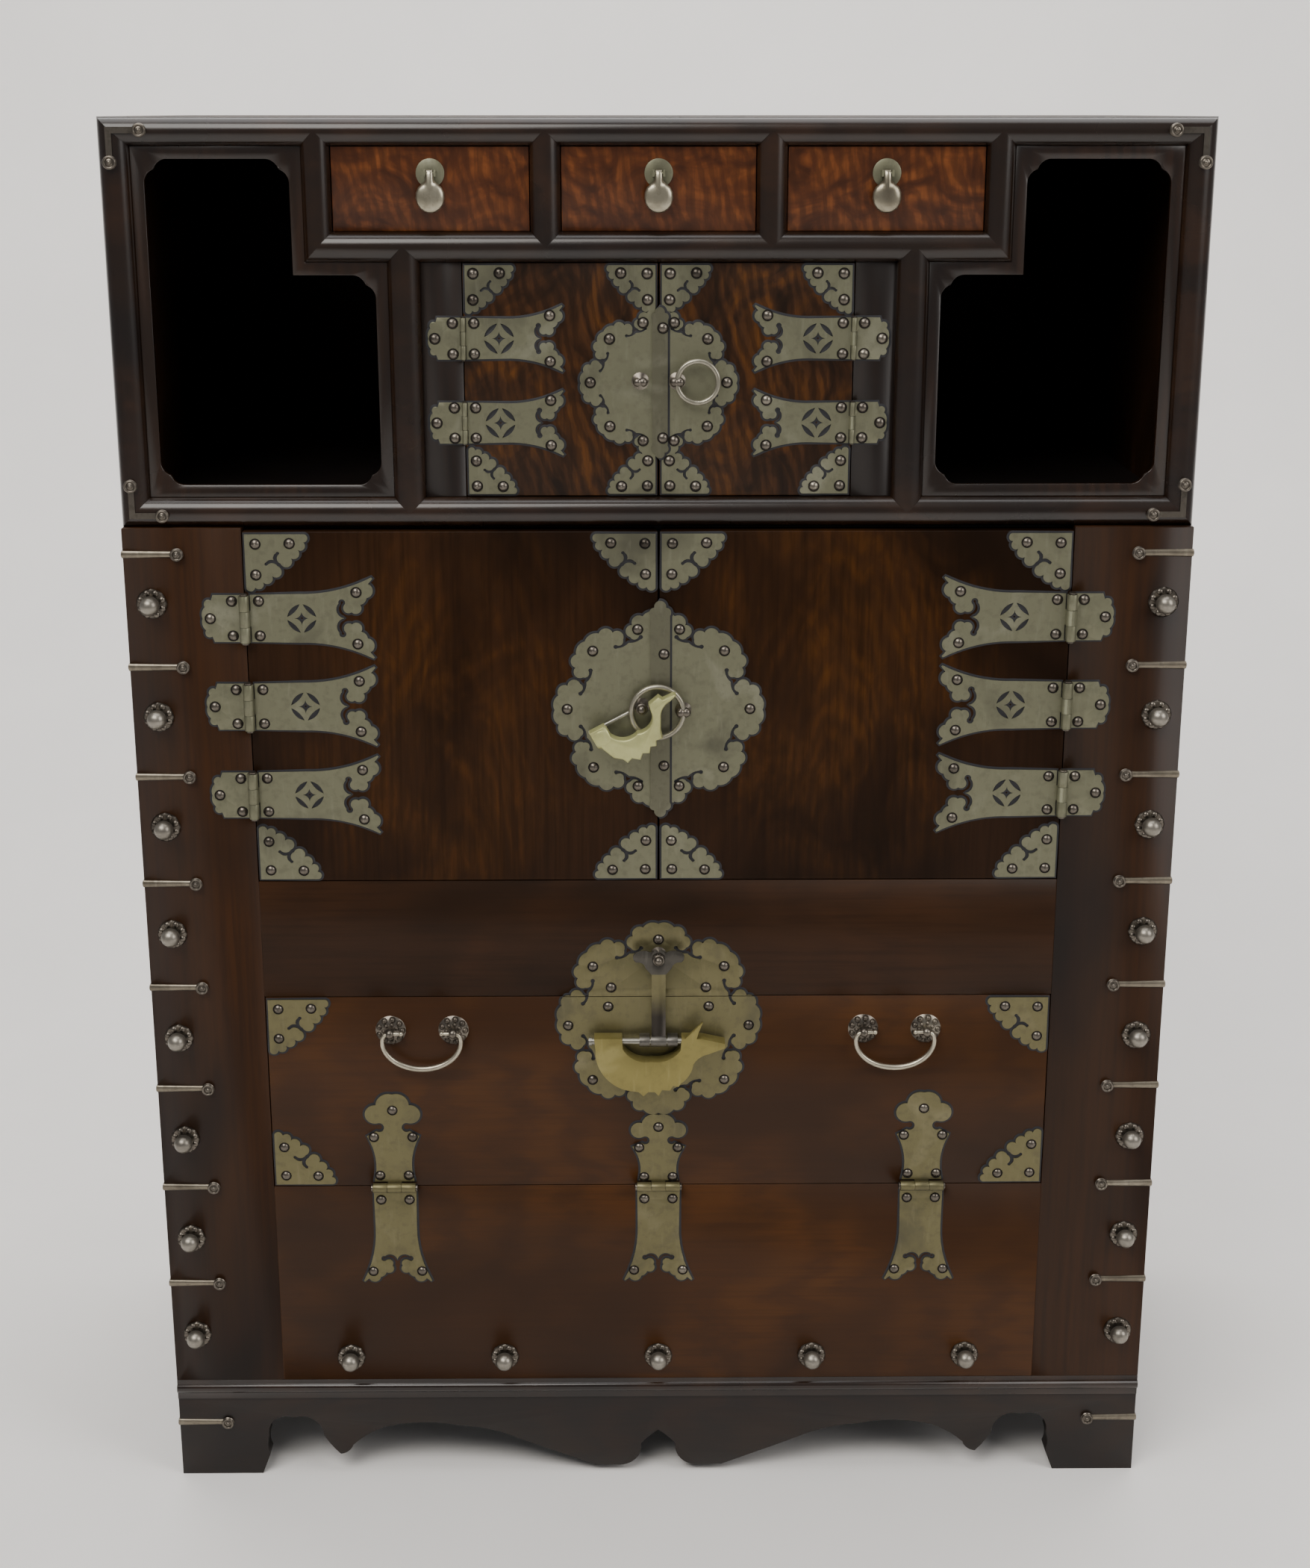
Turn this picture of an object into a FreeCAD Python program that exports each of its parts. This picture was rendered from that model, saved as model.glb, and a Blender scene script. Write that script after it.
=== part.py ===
import FreeCAD, Part
import os
from math import asin, cos, pi, sin, sqrt

V = FreeCAD.Vector

# A two tier wooden chest with metal mounts.
# While it is drawn, x runs to the right, y runs back from the foremost wood and z runs up from the floor.
# The last step moves everything so that the origin lies under the middle of the whole chest.

# Overall size
width = 900.0
depth = 420.0
lower_height = 904.0
upper_height = 331.0

# Clearances and cuts
overrun = 5.0
joint_clear = 0.3
bore_clear = 0.06
panel_gap = 0.6

# Lower tier boards
stile_width = 100.0
stile_thick = 20.0
side_thick = 18.0
board_thick = 16.0
back_thick = 8.0
apron_share = .0896
apron_set_back = 1.5
base_moulding_share = .0216
base_bead_height = 9.0
base_bead_out = 3.0
lower_panel_share = .2196
drop_door_share = .2046
mid_rail_share = .1195
lower_door_thick = 18.0
lower_door_top_gap = 3.0
shelf_thick = 14.0

# Upper tier mouldings and boards
moulding_side = 24.5
moulding_top_share = .068
moulding_rise = 9.0
moulding_depth = 11.0
upper_face = 10.0
upper_door_thick = 15.0
upper_door_reach = 160.5
door_bevel = 2.2
post_inner = 195.0
post_width = 26.0
case_half_width = 288.0
case_end_width = 23.0
muntin_inner = 79.5
muntin_width = 24.5
case_rail_share = .0725
drawer_share = .204
niche_frame_width = 10.5
niche_frame_thick = 5.0
niche_frame_set_back = 9.0
niche_cusp = 20.0

# Drawers
drawer_clear = 0.8
drawer_front_thick = 16.0
drawer_side_thick = 8.0
drawer_floor_thick = 6.0
drawer_floor_up = 5.0
drawer_back_space = 25.0
drawer_wall_drop = 9.0

# Sheet metal and nails
plate_thick = 1.5
nail_radius = 4.0
nail_rise = 2.1
nail_shank = 1.2
nail_length = 9.0

# Hinges
upper_knuckle = 2.3
upper_pin = 1.2
upper_barrel_share = .1766
upper_hinge_shares = (.68, .321)
upper_leaf_length = 82.0
upper_leaf_tip_share = .1403
upper_coin_share = .36
upper_fixed_length = 28.5
lower_knuckle = 4.5
lower_pin = 2.2
lower_barrel_share = .131
lower_hinge_shares = (.761, .512, .257)
lower_leaf_length = 108.5
lower_leaf_tip_share = .1133
lower_coin_share = .44
lower_fixed_length = 36.0
coin_radius = 12.5
strap_knuckle = 4.5
strap_pin = 2.2
strap_barrel = 39.0
strap_spacing = 240.0
strap_tall_share = .489
strap_short_share = .376
strap_lobe = 25.0
strap_foot_share = .486
strap_foot_half = 31.5

# Corner plates: width along x, and height as a share of the door's height
upper_corner_width = 40.0
upper_corner_share = .2026
lower_corner_width = 53.0
lower_corner_share = .157
drop_corner_width = 54.0
drop_corner_share = .281
corner_inset = 2.0

# Lock plates: half width, and half height as a share of the door's height
upper_lock_half = 64.3
upper_lock_share = .308
upper_lock_drop = 1.8
lower_lock_half = 89.0
lower_lock_share = .275
drop_lock_half = 89.5
drop_lock_share = .489
drop_lock_level_share = .878

# Cover strips on the right doors
upper_strip_half = 6.5
upper_strip_share = .2857
upper_strip_nail_share = .82
lower_strip_half = 8.3
lower_strip_share = .28
lower_strip_nail_share = .57
strip_shift_share = .16

# Rings and their posts, at a distance from the seam
upper_post_out = 15.2
lower_post_out = 21.0
lower_left_post_out = 14.5
lower_left_post_rise = 3.5
post_foot_radius = 7.2
post_neck = 2.4
post_reach = 14.5
post_ball = 4.0
upper_ring_radius = 17.0
upper_ring_wire = 2.2
lower_ring_radius = 22.2
lower_ring_wire = 2.4
ring_out = 10.0

# Drawer pulls
pull_plate_radius = 11.5
pull_drop_share = .3185
pull_pin_out = 6.0
pull_pin_radius = 1.5
pull_knuckle_half = 3.0
pull_lug_half = 2.6
pull_lug_out = 5.1
pull_half_width = 11.7
pull_length = 31.0
pull_thick = 3.0

# Bail handles
bail_spread = 211.0
bail_level_share = .826
bail_post_spread = 28.0
bail_half = 35.2
bail_bend = 6.0
bail_low_bend = 27.0
bail_wire = 2.2
bail_drop = 34.0
bail_out = 9.5
rosette_radius = 13.5

# Padlocks
lock_thick = 13.0
lock_rod = 1.7
lock_tilt = 28.0
lock_half = 40.5
lock_belly = 37.5
lock_gap = 0.4
lock_shift = 1.5
cap_wall = 0.7
lock_end_gap = 2.2
drop_padlock_half = 59.0
drop_padlock_belly = 50.0
drop_padlock_thick = 15.0
drop_horn_thick = 5.0
drop_rod = 3.1
drop_rod_share = .792
drop_rod_out = 12.5
drop_lug_radius = 5.0
drop_lug_reach = 17.0
drop_lug_gap = 0.9
drop_lug_inner = 7.0

# Hasp
hasp_half = 6.2
hasp_thick = 2.2
hasp_head_half = 23.0
hasp_head_height = 17.0
hasp_eye_share = .363

# Studs, staples and corner straps
stud_inset = 22.0
stud_top_share = .929
stud_pitch_share = .1092
stud_rows = 8
stud_low_share = .1184
stud_low_spacing = 143.0
stud_base_radius = 13.0
stud_base_thick = 2.2
stud_ball = 8.3
staple_top_share = .9757
staple_pitch_share = .1075
staple_rows = 8
staple_foot_share = .686
staple_half = 3.4
staple_reach = 40.0
staple_side_reach = 34.0
staple_thick = 1.8
staple_ring = 5.6
strap_wide = 5.0
strap_inset = 8.0
strap_arm = 30.0
strap_raise = 1.2

# Levels and planes that follow from the sizes above
height = lower_height + upper_height
half = width / 2
bay = half - stile_width
apron_height = apron_share * lower_height
moulding_base = apron_height + base_moulding_share * lower_height
lower_panel_height = lower_panel_share * lower_height
drop_hinge_level = moulding_base + lower_panel_height
drop_door_height = drop_door_share * lower_height
mid_rail_level = drop_hinge_level + drop_door_height
mid_rail_height = mid_rail_share * lower_height
lower_door_level = mid_rail_level + mid_rail_height
lower_door_top = lower_height - lower_door_top_gap
lower_door_height = lower_door_top - lower_door_level
lower_door_middle = (lower_door_top + lower_door_level) / 2
carcass_back = depth - back_thick
moulding_top = moulding_top_share * upper_height
upper_floor = lower_height + moulding_side
upper_ceiling = height - moulding_top
drawer_opening = drawer_share * upper_height
case_rail_top = upper_ceiling - drawer_opening
case_rail_height = case_rail_share * upper_height
case_rail_level = case_rail_top - case_rail_height
upper_door_height = case_rail_level - upper_floor
upper_door_middle = (case_rail_level + upper_floor) / 2
post_outer = post_inner + post_width
niche_inner = post_outer + niche_frame_width
niche_outer = half - moulding_side - niche_frame_width
niche_step = case_half_width + niche_frame_width
niche_low = upper_floor + niche_frame_width
niche_step_level = case_rail_level - niche_frame_width
niche_high = upper_ceiling - niche_frame_width
upper_axis = upper_door_reach + panel_gap / 2
lower_axis = bay - panel_gap / 2
strap_axis = drop_hinge_level + panel_gap / 2
upper_lock_height = upper_door_middle - upper_lock_drop
drop_lock_height = drop_hinge_level + drop_lock_level_share * drop_door_height
drop_rod_height = drop_hinge_level + drop_rod_share * drop_door_height
bail_height = drop_hinge_level + bail_level_share * drop_door_height
hasp_eye_height = mid_rail_level + hasp_eye_share * mid_rail_height
pull_height = upper_ceiling - pull_drop_share * drawer_opening
stud_top = stud_top_share * lower_height
stud_pitch = stud_pitch_share * lower_height
stud_low_height = moulding_base + stud_low_share * lower_panel_height
staple_top = staple_top_share * lower_height
staple_pitch = staple_pitch_share * lower_height
staple_foot_height = staple_foot_share * apron_height
upper_barrel = upper_barrel_share * upper_door_height
upper_leaf_tip = upper_leaf_tip_share * upper_door_height
lower_barrel = lower_barrel_share * lower_door_height
lower_leaf_tip = lower_leaf_tip_share * lower_door_height
strap_tall = strap_tall_share * drop_door_height
strap_short = strap_short_share * drop_door_height
strap_foot = strap_foot_share * lower_panel_height
upper_lock = (upper_lock_half, upper_lock_share * upper_door_height)
lower_lock = (lower_lock_half, lower_lock_share * lower_door_height)
drop_lock = (drop_lock_half, drop_lock_share * drop_door_height)
upper_strip = (upper_strip_half, upper_strip_share * upper_door_height, upper_strip_nail_share)
lower_strip = (lower_strip_half, lower_strip_share * lower_door_height, lower_strip_nail_share)
upper_corner_plate = (upper_corner_width, upper_corner_share * upper_door_height)
lower_corner_plate = (lower_corner_width, lower_corner_share * lower_door_height)
drop_corner_plate = (drop_corner_width, drop_corner_share * drop_door_height)
upper_post = (upper_post_out, upper_door_middle)
lower_post = (lower_post_out, lower_door_middle)
lower_left_post = (lower_left_post_out, lower_door_middle + lower_left_post_rise)
tiny = panel_gap / 1000
nodes = {}


def box(x0, x1, y0, y1, z0, z1):
    return Part.makeBox(x1 - x0, y1 - y0, z1 - z0, V(x0, y0, z0))


def mirrored(shape):
    return shape.mirror(V(0, 0, 0), V(1, 0, 0))


def both_sides(shape):
    return [shape, mirrored(shape)]


def keep(node, shapes):
    nodes[node] = Part.makeCompound(list(shapes))


def scaled(points, at, size):
    """Points given in shares of a size, set at a place. Four numbers stand for an arc's middle and end."""
    placed = []
    for point in points:
        pairs = [(point[i], point[i + 1]) for i in range(0, len(point), 2)]
        placed.append(tuple(c for x, z in pairs for c in (at[0] + x * size[0], at[1] + z * size[1])))
    return placed


def runs_of(points):
    """The runs of an open outline, each as start, middle or None, and end."""
    runs = []
    here = points[0]
    for point in points[1:]:
        middle = point[:2] if len(point) == 4 else None
        runs.append((here, middle, point[-2:]))
        here = point[-2:]
    return runs


def turned_back(runs, flip):
    """The same runs on the other side of a line of symmetry, from the far end back."""
    return [(flip(end), flip(mid) if mid else None, flip(start)) for start, mid, end in reversed(runs)]


def face_of(runs, y):
    edges = []
    for start, mid, end in runs:
        a = V(start[0], y, start[1])
        b = V(end[0], y, end[1])
        if (b - a).Length < tiny:
            continue
        if mid:
            edges.append(Part.Arc(a, V(mid[0], y, mid[1]), b).toShape())
        else:
            edges.append(Part.LineSegment(a, b).toShape())
    return Part.Face(Part.Wire(edges))


def closed(points):
    runs = runs_of(points)
    return runs + [(points[-1][-2:], None, points[0])]


def slab(runs, y_front, thick):
    return face_of(runs, y_front).extrude(V(0, thick, 0))


def turned(points, at, along):
    """A solid of revolution. Each point is a radius and a distance along the axis."""
    radial = V(0, 0, 1) if abs(along.x) else V(1, 0, 0)

    def place(pair):
        return at + radial * pair[0] + along * pair[1]

    edges = []
    for start, mid, end in closed(points):
        a = place(start)
        b = place(end)
        if (b - a).Length < tiny:
            continue
        edges.append(Part.Arc(a, place(mid), b).toShape() if mid else Part.LineSegment(a, b).toShape())
    return Part.Face(Part.Wire(edges)).revolve(at, along, 360)


def rod(radius, start, end):
    run = end - start
    return Part.makeCylinder(radius, run.Length, start, run)


def cap_middle(radius, rise):
    """A point halfway up a dome's side, as radius and height."""
    ball = (radius * radius + rise * rise) / (2 * rise)
    turn = asin(radius / ball) / 2
    return ball * sin(turn), ball * cos(turn) - ball + rise


def nail(x, z, face, radius=nail_radius, shank=nail_shank, length=nail_length):
    """A domed nail driven towards the back through a plate whose outer face is given."""
    rise = nail_rise * radius / nail_radius
    mid = cap_middle(radius, rise)
    return turned([(0, rise), (mid[0], mid[1], radius, 0), (shank, 0), (shank, -length), (0, -length)],
                  V(x, face, z), V(0, -1, 0))


def drilled(shape, places, face, radius=nail_shank):
    """The nail holes of a plate."""
    holes = [rod(radius + bore_clear, V(x, face - overrun, z), V(x, face + overrun, z)) for x, z in places]
    return shape.cut(holes) if holes else shape


def prism(points, at, across, out, run):
    """A moulding: its section is drawn across and out from a place, then drawn along a run."""
    def place(pair):
        return at + across * pair[0] + out * pair[1]

    edges = []
    for start, mid, end in closed(points):
        a = place(start)
        b = place(end)
        edges.append(Part.Arc(a, place(mid), b).toShape() if mid else Part.LineSegment(a, b).toShape())
    return Part.Face(Part.Wire(edges)).extrude(run)


def half_round(wide):
    flat = moulding_depth - moulding_rise
    return [(-wide / 2, 0), (-wide / 2, flat), (0, moulding_depth, wide / 2, flat), (wide / 2, 0)]


def upright_moulding(x, wide, z0, z1):
    return prism(half_round(wide), V(x, moulding_depth, z0), V(1, 0, 0), V(0, -1, 0), V(0, 0, z1 - z0))


def level_moulding(z, wide, x0, x1):
    return prism(half_round(wide), V(x0, moulding_depth, z), V(0, 0, 1), V(0, -1, 0), V(x1 - x0, 0, 0))


def shadow(points):
    """Everything that lies behind an outline seen from the front."""
    return slab(closed(points), -overrun, moulding_depth + 2 * overrun)


# The base: each outline is in shares of half the width and of the apron's height
apron_shares = [
    (0, .547), (.018, .47, .036, .37), (.05, .15, .08, .086), (.133, .09), (.215, .27, .287, .43),
    (.35, .56, .418, .617), (.5, .66, .571, .605), (.61, .5, .64, .37), (.655, .27, .667, .25),
    (.68, .33, .7, .49), (.72, .7, .763, .727), (.8, .71, .815, .5), (.818, .3, .815, .25), (.832, 0),
    (1, 0), (1, 1), (0, 1)]
foot_long = 62.0
arch_high = 43.0
arch_round = 16.0


def flip_x(point):
    return (-point[0], point[1])


def front_apron():
    runs = runs_of(scaled(apron_shares, (0, 0), (half, apron_height)))
    return slab(runs + turned_back(runs, flip_x), apron_set_back, stile_thick - apron_set_back)


def arched(x0, x1, y0, y1):
    """A rail of the base with a round cornered arch along its longer side."""
    rail = box(x0, x1, y0, y1, 0, apron_height)
    if x1 - x0 > y1 - y0:
        a, b = x0 + foot_long, x1 - foot_long
        low = box(a, b, y0 - overrun, y1 + overrun, -overrun, arch_high - arch_round)
        high = box(a + arch_round, b - arch_round, y0 - overrun, y1 + overrun, -overrun, arch_high)
        rounds = [rod(arch_round, V(x, y0 - overrun, arch_high - arch_round),
                      V(x, y1 + overrun, arch_high - arch_round)) for x in (a + arch_round, b - arch_round)]
    else:
        a, b = y0 + foot_long, y1 - foot_long
        low = box(x0 - overrun, x1 + overrun, a, b, -overrun, arch_high - arch_round)
        high = box(x0 - overrun, x1 + overrun, a + arch_round, b - arch_round, -overrun, arch_high)
        rounds = [rod(arch_round, V(x0 - overrun, y, arch_high - arch_round),
                      V(x1 + overrun, y, arch_high - arch_round)) for y in (a + arch_round, b - arch_round)]
    return rail.cut([low, high] + rounds)


def base():
    keep("base_front_apron", [front_apron()])
    side = arched(half - side_thick, half, stile_thick, depth)
    back = arched(side_thick - half, half - side_thick, depth - side_thick, depth)
    keep("base_side_and_back_rails", both_sides(side) + [back])
    side = prism(bead_section(side_thick), V(half, stile_thick, 0), V(1, 0, 0), V(0, 0, 1),
                 V(0, depth - stile_thick, 0))
    front = prism(bead_section(stile_thick), V(-half, 0, 0), V(0, -1, 0), V(0, 0, 1), V(width, 0, 0))
    keep("base_moulding", both_sides(side) + [front])


def bead_section(thick):
    """The base moulding's section: a flat strip with a round bead near its top."""
    mid = moulding_base - base_bead_height
    return [(0, apron_height), (0, mid - base_bead_height / 2),
            (base_bead_out, mid, 0, mid + base_bead_height / 2), (0, moulding_base),
            (-thick, moulding_base), (-thick, apron_height)]


def lower_boards():
    inner = half - side_thick
    side = box(inner, half, stile_thick, depth, moulding_base, lower_height)
    keep("lower_sides", both_sides(side))
    keep("lower_bottom_board", [box(-inner, inner, stile_thick, carcass_back, moulding_base,
                                    moulding_base + board_thick)])
    keep("lower_top_board", [box(-inner, inner, stile_thick, carcass_back, lower_height - board_thick,
                                 lower_height)])
    keep("inner_shelf", [box(-inner, inner, stile_thick, carcass_back, mid_rail_level,
                             mid_rail_level + shelf_thick)])
    keep("lower_front_stiles", both_sides(box(bay, half, 0, stile_thick, moulding_base, lower_height)))
    keep("mid_rail", [box(-bay, bay, 0, stile_thick, mid_rail_level, lower_door_level)])
    keep("lower_front_panel", [box(-bay, bay, 0, stile_thick, moulding_base, drop_hinge_level)])


def upper_boards():
    inner = half - moulding_side
    side = box(inner, half, moulding_depth, depth, lower_height, upper_ceiling)
    keep("upper_sides", both_sides(side))
    keep("upper_top_board", [box(-half, half, moulding_depth, depth, upper_ceiling, height)])
    keep("upper_bottom_board", [box(-inner, inner, moulding_depth, depth, lower_height, upper_floor)])
    lower_back = box(side_thick - half, half - side_thick, carcass_back, depth, moulding_base, lower_height)
    upper_back = box(-inner, inner, carcass_back, depth, upper_floor, upper_ceiling)
    keep("back_panels", [lower_back, upper_back])
    panel = box(upper_door_reach + panel_gap, post_inner, upper_face, upper_face + upper_door_thick,
                upper_floor, case_rail_level)
    keep("door_side_panels", both_sides(panel))
    partition = box(post_inner, post_outer, moulding_depth, carcass_back, upper_floor, case_rail_level)
    keep("niche_partitions", both_sides(partition))
    floor = box(-case_half_width, case_half_width, moulding_depth, carcass_back, case_rail_level,
                case_rail_top)
    end = box(case_half_width - case_end_width, case_half_width, moulding_depth, carcass_back,
              case_rail_top, upper_ceiling)
    divider = box(muntin_inner, muntin_inner + muntin_width, moulding_depth, carcass_back,
                  case_rail_top, upper_ceiling)
    keep("drawer_case_boards", [floor] + both_sides(end) + both_sides(divider))


def pointed(x, wide, z0, z1, low, high):
    """The outline of an upright moulding whose ends run to a point in the rails that they meet."""
    tip = wide / 2
    points = [(x - tip, z0)]
    if low:
        points.append((x, z0 - tip))
    points += [(x + tip, z0), (x + tip, z1)]
    if high:
        points.append((x, z1 + tip))
    return points + [(x - tip, z1)]


def upper_mouldings():
    inner = half - moulding_side
    rail_mid = case_rail_level + case_rail_height / 2
    end_x = case_half_width - case_end_width / 2
    muntin_x = muntin_inner + muntin_width / 2
    post_x = post_inner + post_width / 2
    muntins = [pointed(s * muntin_x, muntin_width, case_rail_top, upper_ceiling, True, True)
               for s in (-1, 1)]
    posts = [pointed(s * post_x, post_width, upper_floor, case_rail_level, True, True) for s in (-1, 1)]
    ends = [pointed(s * end_x, case_end_width, case_rail_top, upper_ceiling, False, True) for s in (-1, 1)]
    top_outline = [(-half, height), (half, height), (inner, upper_ceiling), (-inner, upper_ceiling)]
    low_outline = [(-half, lower_height), (half, lower_height), (inner, upper_floor), (-inner, upper_floor)]
    side_outline = [(half, lower_height), (half, height), (inner, upper_ceiling), (inner, upper_floor)]
    top = level_moulding(height - moulding_top / 2, moulding_top, -half, half)
    top = top.common(shadow(top_outline))
    low = level_moulding(lower_height + moulding_side / 2, moulding_side, -half, half)
    low = low.common(shadow(low_outline))
    side = upright_moulding(half - moulding_side / 2, moulding_side, lower_height, height)
    side = side.common(shadow(side_outline))
    top = top.cut([shadow(p) for p in muntins + ends])
    low = low.cut([shadow(p) for p in posts])
    keep("upper_frame_moulding", [top, low] + both_sides(side))
    rail_outline = [(-case_half_width, case_rail_level), (case_half_width, case_rail_level),
                    (case_half_width - case_end_width, case_rail_top),
                    (case_end_width - case_half_width, case_rail_top)]
    rail = level_moulding(rail_mid, case_rail_height, -case_half_width, case_half_width)
    rail = rail.common(shadow(rail_outline)).cut([shadow(p) for p in muntins + posts])
    end_outline = [(case_half_width, case_rail_level), (case_half_width, upper_ceiling),
                   (end_x, upper_ceiling + case_end_width / 2),
                   (case_half_width - case_end_width, upper_ceiling),
                   (case_half_width - case_end_width, case_rail_top)]
    end = upright_moulding(end_x, case_end_width, case_rail_level, height).common(shadow(end_outline))
    muntin = upright_moulding(muntin_x, muntin_width, case_rail_level, height).common(shadow(muntins[1]))
    post = upright_moulding(post_x, post_width, lower_height, case_rail_top).common(shadow(posts[1]))
    keep("upper_inner_mouldings", [rail] + both_sides(end) + both_sides(muntin) + both_sides(post))


# One cusped corner, in shares of its size back along the edge before it and on along the edge after it
cusp_shares = [(1, 0), (.62, .1, .4, .4), (.1, .62, 0, 1)]


def niche_opening():
    """The inner outline of a niche frame: all corners but the one at the step carry a cusp."""
    corners = [(niche_inner, niche_low), (niche_outer, niche_low), (niche_outer, niche_high),
               (niche_step, niche_high), (niche_step, niche_step_level), (niche_inner, niche_step_level)]
    points = []
    for i, (x, z) in enumerate(corners):
        if i == 4:
            points.append((x, z))
            continue
        bx, bz = corners[i - 1]
        nx, nz = corners[(i + 1) % len(corners)]
        back = V(bx - x, 0, bz - z).normalize() * niche_cusp
        on = V(nx - x, 0, nz - z).normalize() * niche_cusp
        for share in cusp_shares:
            pairs = [(share[j], share[j + 1]) for j in range(0, len(share), 2)]
            points.append(tuple(c for a, b in pairs for c in
                                (x + back.x * a + on.x * b, z + back.z * a + on.z * b)))
    return points


def niche_frames():
    inner = half - moulding_side
    outer = [(post_outer, upper_floor), (inner, upper_floor), (inner, upper_ceiling),
             (case_half_width, upper_ceiling), (case_half_width, case_rail_level),
             (post_outer, case_rail_level)]
    frame = slab(closed(outer), niche_frame_set_back, niche_frame_thick)
    hole = slab(closed(niche_opening()), niche_frame_set_back - overrun, niche_frame_thick + 2 * overrun)
    keep("niche_frames", both_sides(frame.cut(hole)))


def door_board(reach, z0, z1, face, thick, side):
    """A door whose meeting edge leans back, so that it swings clear of its neighbour."""
    near = panel_gap
    points = [(near, 0), (reach, 0), (reach, thick), (near + door_bevel, thick)]
    door = prism(points, V(0, face, z0), V(1, 0, 0), V(0, 1, 0), V(0, 0, z1 - z0))
    return door if side > 0 else mirrored(door)


def drop_board():
    z0 = drop_hinge_level + panel_gap
    z1 = mid_rail_level - panel_gap
    points = [(z0, 0), (z1, 0), (z1 - door_bevel, lower_door_thick), (z0, lower_door_thick)]
    return prism(points, V(panel_gap - bay, 0, 0), V(0, 0, 1), V(0, 1, 0), V(2 * (bay - panel_gap), 0, 0))


def drawer(x0, x1):
    """A drawer box between two uprights, with low walls behind its front board."""
    a = x0 + drawer_clear
    b = x1 - drawer_clear
    low = case_rail_top + joint_clear
    high = upper_ceiling - drawer_clear
    far = carcass_back - drawer_back_space
    front = box(a, b, upper_face, upper_face + drawer_front_thick, low, high)
    tray = box(a, b, upper_face + drawer_front_thick, far, low, high - drawer_wall_drop)
    room = box(a + drawer_side_thick, b - drawer_side_thick, upper_face + drawer_front_thick,
               far - drawer_side_thick, low + drawer_floor_up + drawer_floor_thick, high)
    under = box(a + drawer_side_thick, b - drawer_side_thick, upper_face + drawer_front_thick,
                far - drawer_side_thick, low - overrun, low + drawer_floor_up)
    return front.fuse(tray).cut([room, under]).removeSplitter()


# Corner plate outline in shares of its width and height, from the corner to the diagonal
corner_shares = [(0, 0), (.95, 0), (1, .07, .93, .14), (.95, .24, .84, .27), (.84, .4, .73, .42),
                 (.68, .57, .56, .51), (.505, .43, .545, .345), (.525, .305, .49, .33), (.45, .38, .45, .45)]


def corner_plate(corner, size, towards, face):
    """A sheet metal corner with a scrolled cut on its diagonal: its shape and its three nail places."""
    at = (corner[0] + towards[0] * corner_inset, corner[1] + towards[1] * corner_inset)
    span = (towards[0] * size[0], towards[1] * size[1])
    runs = runs_of(scaled(corner_shares, (0, 0), (1, 1)))
    runs += turned_back(runs, lambda p: (p[1], p[0]))
    placed = []
    for start, mid, end in runs:
        placed.append(tuple((at[0] + p[0] * span[0], at[1] + p[1] * span[1]) if p else None
                            for p in (start, mid, end)))
    front = face - plate_thick
    plate = slab(placed, front, plate_thick)
    nails = [(at[0] + a * span[0], at[1] + b * span[1]) for a, b in nail_shares]
    return drilled(plate, nails, face), nails


nail_shares = [(.17, .17), (.71, .16), (.16, .71)]


def four_corners(x0, x1, z0, z1, size, face):
    plates = []
    nails = []
    for x, tx in ((x0, 1), (x1, -1)):
        for z, tz in ((z0, 1), (z1, -1)):
            plate, places = corner_plate((x, z), size, (tx, tz), face)
            plates.append(plate)
            nails += places
    return plates, nails


# Half outlines of hinge leaves: shares of the length out from the pin and of the half width at the tips
moving_leaf_shares = [(.42, .6), (.73, .7, .99, 1), (1, .97), (.965, .84), (1.0, .66, .95, .5),
                      (.93, .38, .9, .33), (.905, .2, .83, .15), (.775, .17, .778, .34),
                      (.755, .47, .73, .36), (.715, .15, .77, 0)]
strap_leaf_shares = [(.06, .72), (.3, .66, .55, .95), (.605, .6), (.66, .33, .69, .56),
                     (.79, 1.0, .885, .6), (.975, .45, 1, 0)]
fixed_leaf_shares = [(.74, 1), (.79, .76), (.88, .79, .93, .5), (1.01, .27, 1, 0)]

# The pierced coin of a leaf in shares of its radius: one of its four lenses, and the star between them
lens_shares = [(.98, .1), (.68, .68, .1, .98), (.455, .455, .98, .1)]
star_shares = [(.5, 0), (.15, .15, 0, .5), (-.15, .15, -.5, 0), (-.15, -.15, 0, -.5), (.15, -.15, .5, 0)]


def quarter_turned(points, turns):
    """Outline points turned about their origin by so many quarter turns."""
    for turn in range(turns):
        points = [tuple(c for i in range(0, len(p), 2) for c in (-p[i + 1], p[i])) for p in points]
    return points


def coin_cuts(level):
    """The openings of the coin whose middle lies so far out along a leaf."""
    outlines = [star_shares] + [quarter_turned(lens_shares, turns) for turns in range(4)]
    return [runs_of(scaled(points, (level, 0), (coin_radius, coin_radius))) for points in outlines]


def flip_second(point):
    return (point[0], -point[1])


def leaf_runs(shares, length, tip, root):
    half_runs = runs_of([(0, root)] + scaled(shares, (0, 0), (length, tip)))
    return half_runs + turned_back(half_runs, flip_second) + [((0, -root), None, (0, root))]


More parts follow.
